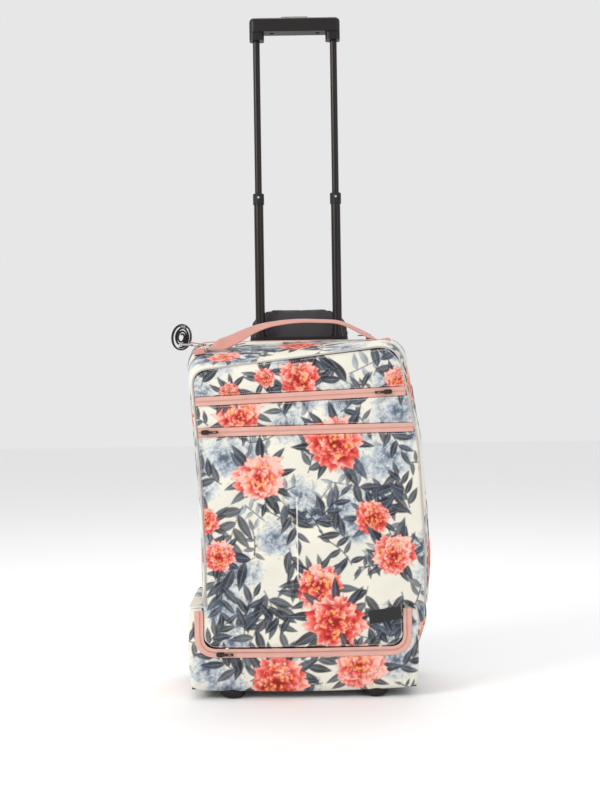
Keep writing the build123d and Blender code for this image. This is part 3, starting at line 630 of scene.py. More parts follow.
def corners(t):
    """The outline's eight corners and their radii; t is 0 at the front wall and 1 at the main zip."""
    tall = rear_top - bottom_z
    points = [(-half + mix(26, 17, t), bottom_z), (-half + mix(27, 18, t), bottom_z + 0.18 * tall),
              (-half + mix(21, 11, t), bottom_z + 0.50 * tall),
              (-half + mix(10, -7, t), mix(rear_top - 49, rear_top, t)),
              (half - mix(26, 4, t), mix(rear_top - 13, rear_top, t)),
              (half + mix(4, 17, t), bottom_z + 0.60 * tall),
              (half + mix(13, 31, t), bottom_z + 0.18 * tall), (half + mix(11, 26, t), bottom_z)]
    return np.array(points), np.array([0.0, 120.0, 160.0, mix(26, 34, t), 36.0, 160.0, 120.0, 0.0])


def rounded(points, radii, straight=26, arc=13):
    """Points along a polyline whose corners are arcs: the same count on every run and every arc."""
    parts, last = [], points[0]
    for i in range(1, len(points) - 1):
        before, here, after = points[i - 1], points[i], points[i + 1]
        long0, long1 = np.linalg.norm(here - before), np.linalg.norm(after - here)
        d0, d1 = (here - before) / long0, (after - here) / long1
        turn = np.arccos(np.clip(d0 @ d1, -1, 1))
        cut = min(radii[i] * np.tan(turn / 2), 0.45 * long0, 0.45 * long1)
        a, b = here - d0 * cut, here + d1 * cut
        t = np.linspace(0, 1, straight, endpoint=False)[:, None]
        parts.append(last + (a - last) * t)
        s = np.linspace(0, 1, arc, endpoint=False)[:, None]
        parts.append((1 - s) ** 2 * a + 2 * s * (1 - s) * here + s ** 2 * b)
        last = b
    t = np.linspace(0, 1, straight)[:, None]
    parts.append(last + (points[-1] - last) * t)
    return np.concatenate(parts)


def rim(t, grow=0.0):
    """The outline at one depth, moved outwards by grow along its own normal."""
    path = rounded(*corners(t))
    run = np.gradient(path, axis=0)
    normal = np.stack([-run[:, 1], run[:, 0]], axis=1)
    return path + grow * normal / np.linalg.norm(normal, axis=1)[:, None]


def lengths(path):
    """Distance along a path of points."""
    return np.concatenate([[0.0], np.cumsum(np.linalg.norm(np.diff(path, axis=0), axis=1))])


print("outline", len(rim(0.0)), "points,", round(lengths(rim(0.0))[-1]), "mm round")

# %% [markdown]
# ## The face
# Three panels meet at two zips. Each panel is stuffed a little, so it swells from its sewn edges, and
# the whole face carries soft folds that run from the corners. One function gives the face's depth, so
# that the zips lie exactly on the cloth they are sewn to.

# %% Shape of the face
def top_edge(u):
    """Height of the front top edge, from left to right."""
    return mix(rear_top - 49.5, rear_top - 13.5, u)


def face_point(u, z):
    """A point of the flat face: u runs between its two edges at that height; near the top the
    corners are rounded off, so the row gets shorter."""
    corner = np.where(u < 0.5, 26.0, 36.0)
    gap = np.clip(top_edge(u) - z, 0.0, corner)
    pull = corner - np.sqrt(np.maximum(corner ** 2 - (corner - gap) ** 2, 0.0))
    tall = rear_top - bottom_z
    left = np.interp(z, [bottom_z, bottom_z + 0.18 * tall, bottom_z + 0.5 * tall, rear_top - 49],
                     [-half + 26, -half + 27, -half + 21, -half + 10])
    right = np.interp(z, [bottom_z, bottom_z + 0.18 * tall, bottom_z + 0.6 * tall, rear_top - 13],
                      [half + 11, half + 13, half + 4, half - 26])
    left, right = left + pull * (u < 0.5), right - pull * (u >= 0.5)
    return mix(left, right, u)


def swell(x, z, inset_left, inset_right):
    """How far the stuffed face stands forward: a crown that rises quickly from the edges, folds that
    run with the cloth, slanting drag lines, and one upright crease where the panel was folded."""
    edge = np.minimum(inset_left, inset_right)
    crown = 5.2 * (1.0 - np.exp(-np.maximum(edge, 0) / 26.0))
    folds = ripple(x, z * 0.6, 11, 130.0) * 1.9 + ripple(x, z * 1.6, 12, 60.0) * 0.8
    drag = (1.2 * np.sin((x * 0.55 + z) / 19.0) * np.exp(-((x - 90.0) / 90.0) ** 2)
            * np.exp(-((z - 250) / 120.0) ** 2))
    fold_x = x + 6.0 + 5.0 * np.sin((z - 200.0) / 60.0)
    crease = 1.6 * np.exp(-(fold_x / 5.0) ** 2) * np.exp(-((z - 250.0) / 75.0) ** 2)
    hang = 3.0 * np.sin(np.clip((x - 10.0) / 165.0, 0, 1) * np.pi) * np.exp(-((z - 210.0) / 110.0) ** 2)
    return crown + (folds + drag + crease + hang) * ease(edge / 30.0)


def face_surface(u, z, roll_low, roll_high):
    """Points of the face: x from the edges, y from the swell; the cloth rolls back at its sewn ends."""
    x = face_point(u, z)
    left, right = face_point(np.zeros_like(u), z), face_point(np.ones_like(u), z)
    stand = swell(x, z, x - left, right - x)
    rolled = stand * (1 - 0.9 * np.exp(-roll_low / 5.0)) * (1 - 0.9 * np.exp(-roll_high / 5.0))
    return np.stack([x, face_y + 1.6 - rolled, z], axis=-1)


upper_mid, lower_mid = rear_top - 90.0, rear_top - 141.0


def upper_line(x):
    """Height of the upper pocket zip: a straight line that climbs 2.2 degrees."""
    return upper_mid + (x + 2.0) * math.tan(math.radians(2.2))


def lower_line(x):
    return lower_mid + (x - 4.0) * math.tan(math.radians(0.7))


def between(u, v, low, high):
    """Heights between two lines of the face, for a grid; x is found from a first guess of z."""
    z = mix(low(mix(-half, half, u)), high(mix(-half, half, u)), v)
    for _ in range(2):
        x = face_point(u, z)
        z = mix(low(x), high(x), v)
    return z


# %% Print the face
def face_bolt():
    """Flowers placed one by one for the front, from the tub to the top edge, with more of the same
    print either side for the tub's ends."""
    p = Print(-345.0, 345.0, 0.0, 560.0, 5)
    background(p, 52, 36)
    for a, b, s in ((-118, 372, 34), (134, 372, 38), (-122, 150, 36), (-40, 250, 34), (128, 118, 30),
                    (-20, 420, 30), (60, 460, 32), (-150, 470, 22), (60, 300, 28), (-110, 90, 30),
                    (-150, 50, 30), (140, 60, 34)):
        p.ghost(a, b, s)
    for a, b, turn, s in ((-88, 300, 4.2, 58), (-70, 220, 3.6, 60), (-30, 305, 5.3, 52), (10, 345, 1.2, 44),
                          (75, 335, 5.6, 56), (150, 350, 4.4, 52), (70, 245, 2.6, 46), (-20, 235, 4.9, 50),
                          (100, 175, 4.4, 54), (150, 165, 5.0, 46), (-60, 170, 5.2, 56), (-120, 190, 4.6, 52),
                          (-5, 130, 3.3, 48), (100, 110, 0.4, 44), (78, 480, 2.6, 58), (112, 492, 1.2, 54),
                          (60, 505, 3.4, 44), (60, 438, 0.5, 44), (-20, 430, 2.2, 42), (-150, 480, 1.3, 44),
                          (-60, 470, 3.9, 36), (-140, 420, 2.4, 34), (120, 430, 5.4, 50), (-60, 120, 4.0, 54),
                          (-90, 100, 1.6, 50), (-90, 40, 2.8, 52), (0, 45, 0.6, 50), (30, 25, 3.4, 46),
                          (140, 45, 0.4, 46), (-150, 75, 1.2, 44), (125, 70, 1.4, 50), (-120, 330, 2.6, 44),
                          (20, 270, 0.8, 46), (165, 290, 1.8, 44)):
        p.spray(a, b, turn, s, 7)
    for a, b, s, tone in ((-62, 340, 37, 0.85), (52, 391, 42, 0.35), (108, 278, 27, 0.25), (139, 221, 32, 0.55),
                          (-146, 276, 21, 0.4), (-126, 221, 24, 0.5), (24, 174, 36, 0.5), (49, 120, 43, 0.25),
                          (-2, 490, 31, 0.35), (-52, 492, 15, 0.5), (-92, 436, 33, 0.45), (-108, 470, 15, 0.55),
                          (150, 487, 20, 0.6), (-39, 27, 41, 0.25), (85, 50, 38, 0.7), (-235, 70, 30, 0.5),
                          (245, 80, 36, 0.45), (-290, 40, 26, 0.4)):
        p.flower(a, b, s, tone)
    # A thin near-white line is painted straight down the face along the upright crease.
    paler = np.nonzero((np.abs(p.a + 7.0) < 0.8) & (np.abs(p.b - 248.0) < 62.0))[0]
    p.lay(paler, np.array(light(250, 248, 240)), np.full(len(paler), 0.85))
    return p


bolt = face_bolt()
print("bolt of cloth", bolt.shape)


# %% [markdown]
# The lower panel is the largest piece of cloth on the bag, so it is the one whose folds show. It runs
# down to the seam on which the cover hinges.

# %% Face panels
TAPE = 14.0


def face_panel(name, low, high, n_u, n_v, roll_ends=(True, True), nodes=(), seam=None):
    u, v = grid(n_u, n_v)
    z = between(u, v, low, high)
    flat_x = face_point(u, z)
    to_low = z - low(flat_x) if roll_ends[0] else np.full_like(z, 99.0)
    to_high = high(flat_x) - z if roll_ends[1] else np.full_like(z, 99.0)
    points = face_surface(u, z, to_low, to_high)
    sides = np.minimum(flat_x - flat_x[:, :1], flat_x[:, -1:] - flat_x)
    edge = np.minimum(np.minimum(to_low, to_high), sides)
    piece = surface(name, points, flat=np.stack([flat_x, z], -1), paint=bolt.cut(flat_x, z),
                    extra={"edge": edge})
    return finish_piece(piece, PRINTED, "cover", nodes, 2.0, seam)


def seam_line(x):
    """Height of the seam on which the cover hinges."""
    return bottom_z - 0.1 + 0 * x


def top_line(x):
    """Height of the front top edge, by x."""
    return top_edge((x + half) / (2 * half))


BEND = 12.0
cover_bend = ((0, face_y, bottom_z), (0, face_y, bottom_z + BEND))
flap_bend = ((0, face_y, bottom_z), (0, face_y, bottom_z - BEND))
lower_panel = face_panel("lower_face_panel", seam_line, lambda x: lower_line(x) - TAPE / 2, 300, 232,
                         (False, True), ("face_panels",), cover_bend)
pocket_panel = face_panel("pocket_face_panel", lambda x: lower_line(x) + TAPE / 2,
                          lambda x: upper_line(x) - TAPE / 2, 300, 36)
yoke_panel = face_panel("yoke_face_panel", lambda x: upper_line(x) + TAPE / 2,
                        lambda x: top_line(x) - 0.3, 300, 52)
print("face panels", [len(p.data.polygons) for p in (lower_panel, pocket_panel, yoke_panel)])


# %% Pocket zips
def face_tape(name, line):
    """A zip tape that follows the face along a line, 14 mm wide, with a low ridge over the coil."""
    u, v = grid(240, 15)
    x = mix(face_point(np.zeros(1), line(-half))[0] + 1.5, face_point(np.ones(1), line(half))[0] - 1.5, u)
    z = line(x) + (v - 0.5) * (TAPE - 0.4)
    left, right = face_point(np.zeros_like(x), z), face_point(np.ones_like(x), z)
    stand = 0.30 * swell(x, z, np.maximum(x - left, 0), np.maximum(right - x, 0))
    ridge = 0.7 * np.exp(-(((v - 0.5) * TAPE) / 1.8) ** 2)
    points = np.stack([x, face_y + 1.0 - stand - ridge, z], -1)
    return surface(name, points, flat=np.stack([x, (v - 0.5) * TAPE], -1))


for name, line, nodes in (("lower_pocket_zip", lower_line, ("pocket_zip_tapes",)),
                          ("upper_pocket_zip", upper_line, ())):
    finish_piece(face_tape(name, line), ZIP, "cover", nodes, 1.0)

# %% [markdown]
# ## Top, sides and main zip
# One long strip of cloth runs up the left side, over the top and down the right. It starts at the
# welt round the face and ends at the main zip. Padding makes it bulge between those two seams.

# %% Gusset
def strip(y0, y1, t0, t1, n_depth, bulge, grow=0.0):
    """The outline carried from one depth to another, bulging between, in rows of constant depth."""
    rows = []
    for w in np.linspace(0.0, 1.0, n_depth):
        path = rim(mix(t0, t1, w), grow + bulge * math.sin(math.pi * w) ** 0.7)
        rows.append(np.column_stack([path[:, 0], np.full(len(path), mix(y0, y1, w)), path[:, 1]]))
    return np.array(rows)


def resample(points, count):
    """The same strip with its points evenly spread along it."""
    run = lengths(points[0][:, [0, 2]])
    even = np.linspace(0, run[-1], count)
    out = np.stack([[np.interp(even, run, row[:, k]) for k in range(3)] for row in points])
    return np.moveaxis(out, 1, 2), even


gusset_raw = strip(face_y + 1.0, seam_y - 6.0, 0.0, (seam_y - 6.0 - wall_y) / (zip_y - wall_y), 96, 4.5)
gusset, run = resample(gusset_raw, 760)
s_flat, w_flat = np.meshgrid(run, gusset[:, 0, 1])
slump = ripple(s_flat, w_flat, 21, 110.0) * 1.6 + ripple(s_flat, w_flat * 2, 22, 45.0) * 0.6
pinned = ease((w_flat - face_y) / 22.0) * ease((seam_y - 6.0 - w_flat) / 22.0)
ds, dw = np.gradient(gusset, axis=1), np.gradient(gusset, axis=0)
normal = np.cross(dw, ds)
normal /= np.linalg.norm(normal, axis=2)[..., None]
outward = np.sign(np.sum(normal * (gusset - np.array([0, 0, 330.0])), axis=2).mean())
gusset = gusset + normal * outward * (slump * pinned)[..., None]


def gusset_print():
    p = Print(-5.0, run[-1] + 5.0, -108.0, 70.0, 31)
    background(p, 26, 22)
    total = run[-1]
    top_left = 360.0
    for k in range(9):
        p.spray(p.rng.uniform(40, total - 40), p.rng.uniform(-90, 50), p.rng.uniform(0, 6.28), 48, 7, 2.2)
    for a, b, size, tone in ((top_left + 40, -60, 24, 0.6), (top_left + 150, -20, 34, 0.25),
                             (top_left + 265, 20, 24, 0.5),
                             (total - 330, -70, 30, 0.6), (total - 270, -20, 24, 0.5),
                             (total - 60, -50, 36, 0.35),
                             (total - 165, 10, 32, 0.5), (70, -30, 32, 0.45), (190, 0, 36, 0.3),
                             (290, -60, 26, 0.55)):
        p.flower(a, b, size, tone)
    return p.cut(s_flat, w_flat)


edge_g = np.minimum(w_flat - face_y, seam_y - 6.0 - w_flat)
gusset_piece = surface("side_and_top_cloth", gusset, flip=outward < 0, flat=np.stack([s_flat, w_flat], -1),
                       paint=gusset_print(), extra={"edge": edge_g})
finish_piece(gusset_piece, PRINTED, "cover", ("cover_shell",), 1.6)
print("gusset", len(gusset_piece.data.polygons), "run", round(run[-1]))


# %% Cover lining
def lined(name, y0, y1, t0, t1, inset):
    """A plain lining strip inside the printed one."""
    rows = strip(y0, y1, t0, t1, 12, 0.0, -inset)
    even, along = resample(rows, 220)
    a, b = np.meshgrid(along, even[:, 0, 1])
    piece = surface(name, even, flip=True, flat=np.stack([a, b], -1))
    return finish_piece(piece, LINING, "cover")


lined("cover_side_lining", wall_y + 1.2, seam_y - 0.6, 0.01, (seam_y - wall_y) / (zip_y - wall_y), 3.4)
u, v = grid(60, 60)
z = between(u, v, lambda x: bottom_z + 1.0 + 0 * x, lambda x: top_line(x) - 3.5)
x = face_point(u, z)
lining_points = np.stack([x * 0.985, np.full_like(x, wall_y + 1.4), z], -1)
front_lining = surface("cover_front_lining", lining_points, flip=True, flat=np.stack([x, z], -1))
finish_piece(front_lining, LINING, "cover")


# %% [markdown]
# The welt is a thin cord under a strip of cloth, sewn round the face. The main zip is two tapes: one
# on the cover, one on the back section, with a thin dark line of painted shade between them.

# %% Welt and main zip
def tube_along(path, radius, sides=10, squash=1.0):
    """A round profile carried along a path of points, as a closed-section grid."""
    run = np.gradient(path, axis=0)
    run /= np.linalg.norm(run, axis=1)[:, None]
    across = np.cross(run, np.array([0.0, 1.0, 0.0]))
    across /= np.linalg.norm(across, axis=1)[:, None]
    up = np.cross(across, run)
    turn = np.linspace(0, 2 * np.pi, sides, endpoint=False)
    ring = across[:, None] * np.cos(turn)[None, :, None] + squash * up[:, None] * np.sin(turn)[None, :, None]
    return path[:, None] + radius * ring


front_rim = rim(0.0, 0.2)
front_path = np.column_stack([front_rim[:, 0], np.full(len(front_rim), face_y + 1.0), front_rim[:, 1]])
welt = tube_along(front_path, 1.5)
along = lengths(front_path)
welt_flat = np.stack(np.broadcast_arrays(along[:, None], np.arange(10.0)[None]), -1)
WELT = webbing("welt_binding", (196, 190, 184), 1.8)
finish_piece(surface("face_welt_cord", welt, closed=True, flip=True, flat=welt_flat), WELT, "cover",
             ("face_welt",))


def rim_tape(name, y0, y1, grow, body, nodes, low_z):
    """A flat tape round the outline between two depths, with a raised lip at the teeth."""
    t0, t1 = [min((y - wall_y) / (zip_y - wall_y), 1.0) for y in (y0, y1)]
    rows = strip(y0, y1, t0, t1, 9, 0.35, grow)
    even, along = resample(rows, 520)
    a, b = np.meshgrid(along, even[:, 0, 1] - (y0 + y1) / 2)
    high = (even[:, :, 2] > low_z).all(axis=0)
    keep = np.broadcast_to(high[1:] & high[:-1], (len(even) - 1, len(high) - 1))
    piece = surface(name, even, keep=keep, flat=np.stack([a, b + 2.6], -1))
    return finish_piece(piece, ZIP, body, nodes, 1.2)


cover_tape = box("main_zip_tape_cover")
back_tape = box("main_zip_tape_back")
zip_foot = back_tape[0][2]
rim_tape("main_zip_cover_tape", cover_tape[0][1] - 1.0, cover_tape[1][1], 1.9, "cover",
         ("main_zip_tape_cover",), zip_foot)
rim_tape("main_zip_back_tape", back_tape[0][1], back_tape[1][1] + 1.0, 1.9, "bag",
         ("main_zip_tape_back",), zip_foot)

# %% [markdown]
# ## Back section
# Behind the zip a narrow strip of the same print runs round to the back panel, which is plain dark
# nylon with a slip pocket, as on most trolley bags.

# %% Back section
back_strip_raw = strip(zip_y + 0.4, back_high[1], 1.0, 1.0, 22, 1.2)
back_strip, back_run = resample(back_strip_raw, 760)
curl = ease((back_strip[:, :, 1] - (back_high[1] - 9.0)) / 9.0)
back_strip[..., 0] -= np.sign(back_strip[..., 0]) * 3.5 * curl * (np.abs(back_strip[..., 0]) > 120)
back_strip[..., 2] -= 3.5 * curl * (back_strip[..., 2] > rear_top - 30)
a, b = np.meshgrid(back_run, back_strip[:, 0, 1])
p = Print(-5.0, back_run[-1] + 5.0, 55.0, 104.0, 44)
background(p, 16, 14)
p.scatter(7, lambda q, w: p.flower(q, w, p.rng.uniform(22, 32), p.rng.uniform(0.3, 0.7)))
edge_b = np.minimum(b - zip_y, back_high[1] - b)
tube_x = box("outer_tubes")[1][0] - 9.5
tube_y = (box("outer_tubes")[0][1] + box("outer_tubes")[1][1]) / 2
tube_hole = 11.5
from_tube = np.hypot(np.abs(back_strip[..., 0]) - tube_x, back_strip[..., 1] - tube_y)
open_at = (from_tube < tube_hole) & (back_strip[..., 2] > rear_top - 30)
keep = ~(open_at[:-1, :-1] | open_at[1:, :-1] | open_at[:-1, 1:] | open_at[1:, 1:])
back_cloth = surface("back_section_cloth", back_strip, keep=keep, flat=np.stack([a, b], -1),
                     paint=p.cut(a, b), extra={"edge": edge_b})
finish_piece(back_cloth, PRINTED, "bag", ("back_section",), 1.6)


def outline_sheet(y, t, n_u, n_v, inset, bow):
    """A sheet that fills the outline at one depth, between two matching points of its sides."""
    path = rim(t, -inset)
    n = len(path)
    left = path[: n // 2]
    right = path[n - n // 2:][::-1]
    pick = np.linspace(0, len(left) - 1, n_v)
    l = np.stack([np.interp(pick, np.arange(len(left)), left[:, k]) for k in (0, 1)], -1)
    r = np.stack([np.interp(pick, np.arange(len(right)), right[:, k]) for k in (0, 1)], -1)
    uu = np.linspace(0, 1, n_u)[None, :, None]
    flat = l[:, None] + (r - l)[:, None] * uu
    uu = uu[..., 0]
    vv = np.linspace(0, 1, n_v)[:, None]
    depth = y + bow * (np.sin(np.pi * uu) * np.sin(np.pi * vv)) ** 0.4
    depth = depth + ripple(flat[..., 0], flat[..., 1], 61, 120.0) * 0.5 * abs(bow) ** 0.5
    return np.stack([flat[..., 0], np.broadcast_to(depth, flat.shape[:2]), flat[..., 1]], -1)


sheet = outline_sheet(back_high[1] - 0.6, 1.0, 120, 130, 3.2, 0.4)
finish_piece(surface("back_panel_cloth", sheet, flip=True, flat=sheet[..., [0, 2]]), BACK_NYLON, "bag",
             (), 1.0)
inner = outline_sheet(box("back_lining")[0][1] + 1.0, 1.0, 90, 90, 4.0, -0.8)
finish_piece(surface("back_lining_cloth", inner, flat=inner[..., [0, 2]]), LINING, "bag",
             ("back_lining",), 1.0)


def padded_patch(low, high, bulge, n_u, n_v, radius, seed, front):
    """A rounded rectangle that swells from its edge: depth = bulge * (1 - exp(-edge / 9))."""
    u, v = grid(n_u, n_v)
    x, z = mix(low[0], high[0], u), mix(low[2], high[2], v)
    dx, dz = np.minimum(x - low[0], high[0] - x), np.minimum(z - low[2], high[2] - z)
    pull = np.clip(radius - dz, 0, radius)
    shift = radius - np.sqrt(np.maximum(radius ** 2 - pull ** 2, 0))
    x = mix(low[0] + shift, high[0] - shift, u)
    edge = np.minimum(np.minimum(x - low[0] - shift, high[0] - shift - x), dz)
    y = front + bulge * (1 - np.exp(-np.maximum(edge, 0) / 9.0)) * (1 + 0.18 * ripple(x, z, seed, 90.0))
    return np.stack([x, y, z], -1), edge


slip_low, slip_high = box("rear_slip_pocket")
patch, edge = padded_patch(slip_low, slip_high, slip_high[1] - slip_low[1], 110, 120, 18.0, 71, slip_low[1])
slip = surface("rear_slip_pocket_cloth", patch, flip=True, flat=patch[..., [0, 2]], extra={"edge": edge})
finish_piece(slip, DARK_NYLON, "bag", ("rear_slip_pocket",), 0.8)

# %% [markdown]
# ## Base compartment
# A low tub wider than the body. Its wall is one band of cloth that runs round from the back left
# corner, along the front, to the back right corner; the front sags a little between the feet. The
# corners over the wheels are left open for the housings.

# %% Base wall
house_low, house_high = box("wheel_housings")
base_top = box("compartment_floor")[1][2]


def base_ring(n):
    """Plan of the tub from the back left corner round the front: straight runs and rounded corners."""
    y0, y1 = base_low[1] - 1.5, base_high[1]
    plan = np.array([(-half, y1 - 1), (-half, y0), (half, y0), (half, y1 - 1)])
    path = rounded(plan, np.array([0, 15.0, 15.0, 0]), 60, 30)
    run = lengths(path)
    even = np.linspace(0, run[-1], n)
    return np.column_stack([np.interp(even, run, path[:, 0]), np.interp(even, run, path[:, 1])]), even


plan, base_run = base_ring(620)
v = np.linspace(0, 1, 106)[:, None]
low_edge = base_low[2] - 3.5 - 2.6 * np.cos(plan[:, 0] / half * 2.2) * (plan[:, 1] < base_low[1] + 20)
z = mix(low_edge[None], base_top - 1.0, v)
tilt = np.gradient(plan, axis=0)
outn = np.column_stack([tilt[:, 1], -tilt[:, 0]])
outn = -outn / np.linalg.norm(outn, axis=1)[:, None]
if outn[310] @ np.array([0.0, -1.0]) < 0:
    outn = -outn
round_off = 7.0 * (np.exp(-(z - low_edge[None]) / 5.0) + np.exp(-(base_top - z) / 4.0))
bulge = 2.6 * np.sin(np.pi * v) ** 0.8 + ripple(np.broadcast_to(base_run, z.shape), z, 81, 100.0) * 1.2
away = bulge * 0.8 - round_off
# The body's right side hangs over the tub, so the cloth there is pushed out towards the top.
plan_x, plan_y = plan[None, :, 0], plan[None, :, 1]
away = away + (21.0 * ease((plan_y + 78.0) / 70.0) * ease((base_high[1] - 4.0 - plan_y) / 34.0)
               * ease((z - 42.0) / 75.0) * (plan_x > half - 1))
base_pts = np.stack([plan_x + outn[None, :, 0] * away, plan_y + outn[None, :, 1] * away, z], -1)
s_b = np.broadcast_to(base_run - base_run[-1] / 2, z.shape)
flap_low, flap_high = box("base_flap")
zip_low, zip_high = box("base_zip_tape_lower")
on_front = base_pts[..., 1] < base_low[1] + 16


zip_x, zip_z = zip_high[0] - 8.0, zip_low[2] + 8.0


def u_distance(x, z):
    """Signed distance from the base zip's U: below zero inside it, where the flap is."""
    r = 26.0
    dx, dz = np.abs(x) - zip_x, zip_z - z
    qx, qz = np.maximum(dx + r, 0), np.maximum(dz + r, 0)
    return np.hypot(qx, qz) - r + np.minimum(np.maximum(dx + r, dz + r), 0)


inside = u_distance(base_pts[..., 0], base_pts[..., 2])
housing = ((np.abs(base_pts[..., 0]) > 122) & (base_pts[..., 1] > house_low[1] - 0.5)
           & (base_pts[..., 2] < house_high[2] + 0.5))
drop = (on_front & (inside < -3.0)) | housing
keep = ~(drop[:-1, :-1] & drop[1:, :-1] & drop[:-1, 1:] & drop[1:, 1:])


edge = np.where(on_front, np.abs(inside), 40.0)
base_wall = surface("base_wall_cloth", base_pts, keep=keep, flat=np.stack([s_b, z], -1),
                    paint=bolt.cut(s_b, z), extra={"edge": edge})
finish_piece(base_wall, PRINTED, "bag", ("base_compartment", "base_front_panel"), 1.6)
print("base wall", len(base_wall.data.polygons))

# %% Base underside, ledge and back
u, v = grid(90, 50)
x, y = mix(-half + 3, half - 3, u), mix(base_low[1] + 3, base_high[1] - 2, v)
under = np.stack([x, y, np.full_like(x, base_low[2] - 0.2)], -1)
cut = (np.abs(x) > 123) & (y > house_low[1] - 1)
keep = ~(cut[:-1, :-1] & cut[1:, 1:])
finish_piece(surface("base_underside", under, flip=True, keep=keep, flat=under[..., :2]), BACK_NYLON, "bag",
             (), 1.4)
corner = 14.0
pull = corner - np.sqrt(np.maximum(corner ** 2 - np.clip(corner - (y - base_low[1]), 0, corner) ** 2, 0))
ledge = np.stack([mix(-half + pull, half - pull, u), mix(base_low[1], base_high[1] - 1.6, v),
                  base_top - 0.8 + 0.9 * np.sin(np.pi * v) ** 0.5 * 0.5], -1)
ledge_cloth = surface("base_ledge_cloth", ledge, flat=ledge[..., :2],
                      paint=bolt.cut(ledge[..., 0], ledge[..., 1] + 240.0))
finish_piece(ledge_cloth, PRINTED, "bag", ("compartment_floor",), 1.4)
x, z = mix(-half + 2, half - 2, u), mix(base_low[2], base_top + 0.4, v)
cut = (np.abs(x) > 123) & (z < house_high[2] + 0.5)
keep = ~(cut[:-1, :-1] & cut[1:, 1:])
rear = np.stack([x, np.full_like(x, base_high[1] - 0.4), z], -1)
finish_piece(surface("base_back_cloth", rear, flip=True, keep=keep, flat=rear[..., [0, 2]]), BACK_NYLON, "bag",
             (), 1.4)


# %% [markdown]
# The flap of the base compartment continues the print of the face below the hinge seam, inside the U
# of its zip.

# %% Base flap and its zip
def corner_back(x, radius=14.0):
    """How far the tub's front has turned back at its rounded corners."""
    over = np.clip(np.abs(x) - (half - radius), 0, radius - 0.3)
    return radius - np.sqrt(radius ** 2 - over ** 2)


u, v = grid(290, 66)
z = mix(flap_low[2], bottom_z - 0.15, v)
r = 20.0
pull = r - np.sqrt(np.maximum(r ** 2 - np.clip(r - (z - flap_low[2]), 0, r) ** 2, 0))
x = mix(flap_low[0] + pull, flap_high[0] - pull, u)
edge = np.minimum(np.minimum(x - flap_low[0] - pull, flap_high[0] - pull - x), z - flap_low[2])
roll = 1 - 0.8 * np.exp(-edge / 4.0)
z_seam = np.full_like(z, bottom_z)
left, right = face_point(np.zeros_like(x), z_seam), face_point(np.ones_like(x), z_seam)
own = np.minimum(x - flap_low[0], flap_high[0] - x)
near_seam = ease((z - flap_high[2] + 26.0) / 26.0)
stand = swell(x, z, mix(own, x - left, near_seam), mix(own, right - x, near_seam))
y = face_y + 1.6 - stand * roll
flap = surface("base_flap_cloth", np.stack([x, y, z], -1), flat=np.stack([x, z], -1), paint=bolt.cut(x, z),
               extra={"edge": edge})
finish_piece(flap, PRINTED, "base_flap", ("base_flap",), 1.8, flap_bend)


def u_tape(name, out0, out1, body, nodes, shift):
    """A flat band along the U, between two distances from the zip line."""
    lim_x, lim_z, r, top = zip_x, zip_z, 26.0, zip_high[2]
    u_corners = np.array([(-lim_x, top), (-lim_x, lim_z), (lim_x, lim_z), (lim_x, top)])
    path = rounded(u_corners, np.array([0, r, r, 0]), 60, 40)
    run = np.gradient(path, axis=0)
    n = np.column_stack([run[:, 1], -run[:, 0]])
    n /= np.linalg.norm(n, axis=1)[:, None]
    if (n[len(n) // 2] @ np.array([0.0, -1.0])) < 0:
        n = -n
    w = np.linspace(out0, out1, 9)[:, None, None]
    flat = path[None] + n[None] * w
    ridge = 0.8 * np.exp(-(w[..., 0] / 1.6) ** 2)
    sag = 1.6 * np.exp(-((flat[..., 0] + 20) / 120.0) ** 2) * (flat[..., 1] < lim_z + 20)
    depth = face_y + 0.6 - shift - ridge + corner_back(flat[..., 0])
    points = np.stack([flat[..., 0], depth, flat[..., 1] - sag], -1)
    along = np.broadcast_to(lengths(path), flat.shape[:2])
    cloth = np.stack([along, np.broadcast_to(w[..., 0], flat.shape[:2])], -1)
    piece = surface(name, points, flat=cloth, flip=True)
    return finish_piece(piece, ZIP, body, nodes, 1.0)


u_tape("base_zip_lower_tape", 0.0, 8.0, "bag", ("base_zip_tape_lower",), 0.9)
u_tape("base_zip_upper_tape", -5.4, -0.3, "base_flap", ("base_zip_tape_upper",), 0.9)

# %% [markdown]
# ## Rear pad
# The dark flap behind the tubes is a thin quilted pad. It is built slightly small, remeshed and let
# swell with a short cloth simulation under pressure, which gives it the pinched look of real padding.

# %% Rear pad
pad_low, pad_high = box("rear_pad_flap")


def dome(n_u=60, n_v=46, thick=7.0):
    """Closed pillow: two sheets over one outline, half width = w * (1 - (z/h)^2.6)^0.45."""
    turn = np.linspace(0, 2 * np.pi, n_u * 2, endpoint=False)
    ring = np.linspace(0.02, 1.0, n_v)
    cx, cz = (pad_low[0] + pad_high[0]) / 2, (pad_low[2] + pad_high[2]) / 2
    hw, hh = (pad_high[0] - pad_low[0]) / 2 - 2.5, (pad_high[2] - pad_low[2]) / 2 - 2.0
    power = 2.0 / 4.6
    ox = np.sign(np.cos(turn)) * np.abs(np.cos(turn)) ** power
    oz = np.sign(np.sin(turn)) * np.abs(np.sin(turn)) ** (power * 1.05)
    narrow = 1.0 - 0.13 * np.clip(oz, 0, 1) ** 2
    sheets = []
    for side in (-1, 1):
        r = ring[:, None]
        x, z = cx + hw * ox * narrow * r, cz + hh * oz * r
        y = (pad_low[1] + pad_high[1]) / 2 + side * thick / 2 * np.sqrt(np.maximum(1 - r ** 4, 0)) + 0 * x
        sheets.append(np.stack([x, y, z], -1))
    return np.concatenate([sheets[0], sheets[1][::-1][1:]], axis=0)


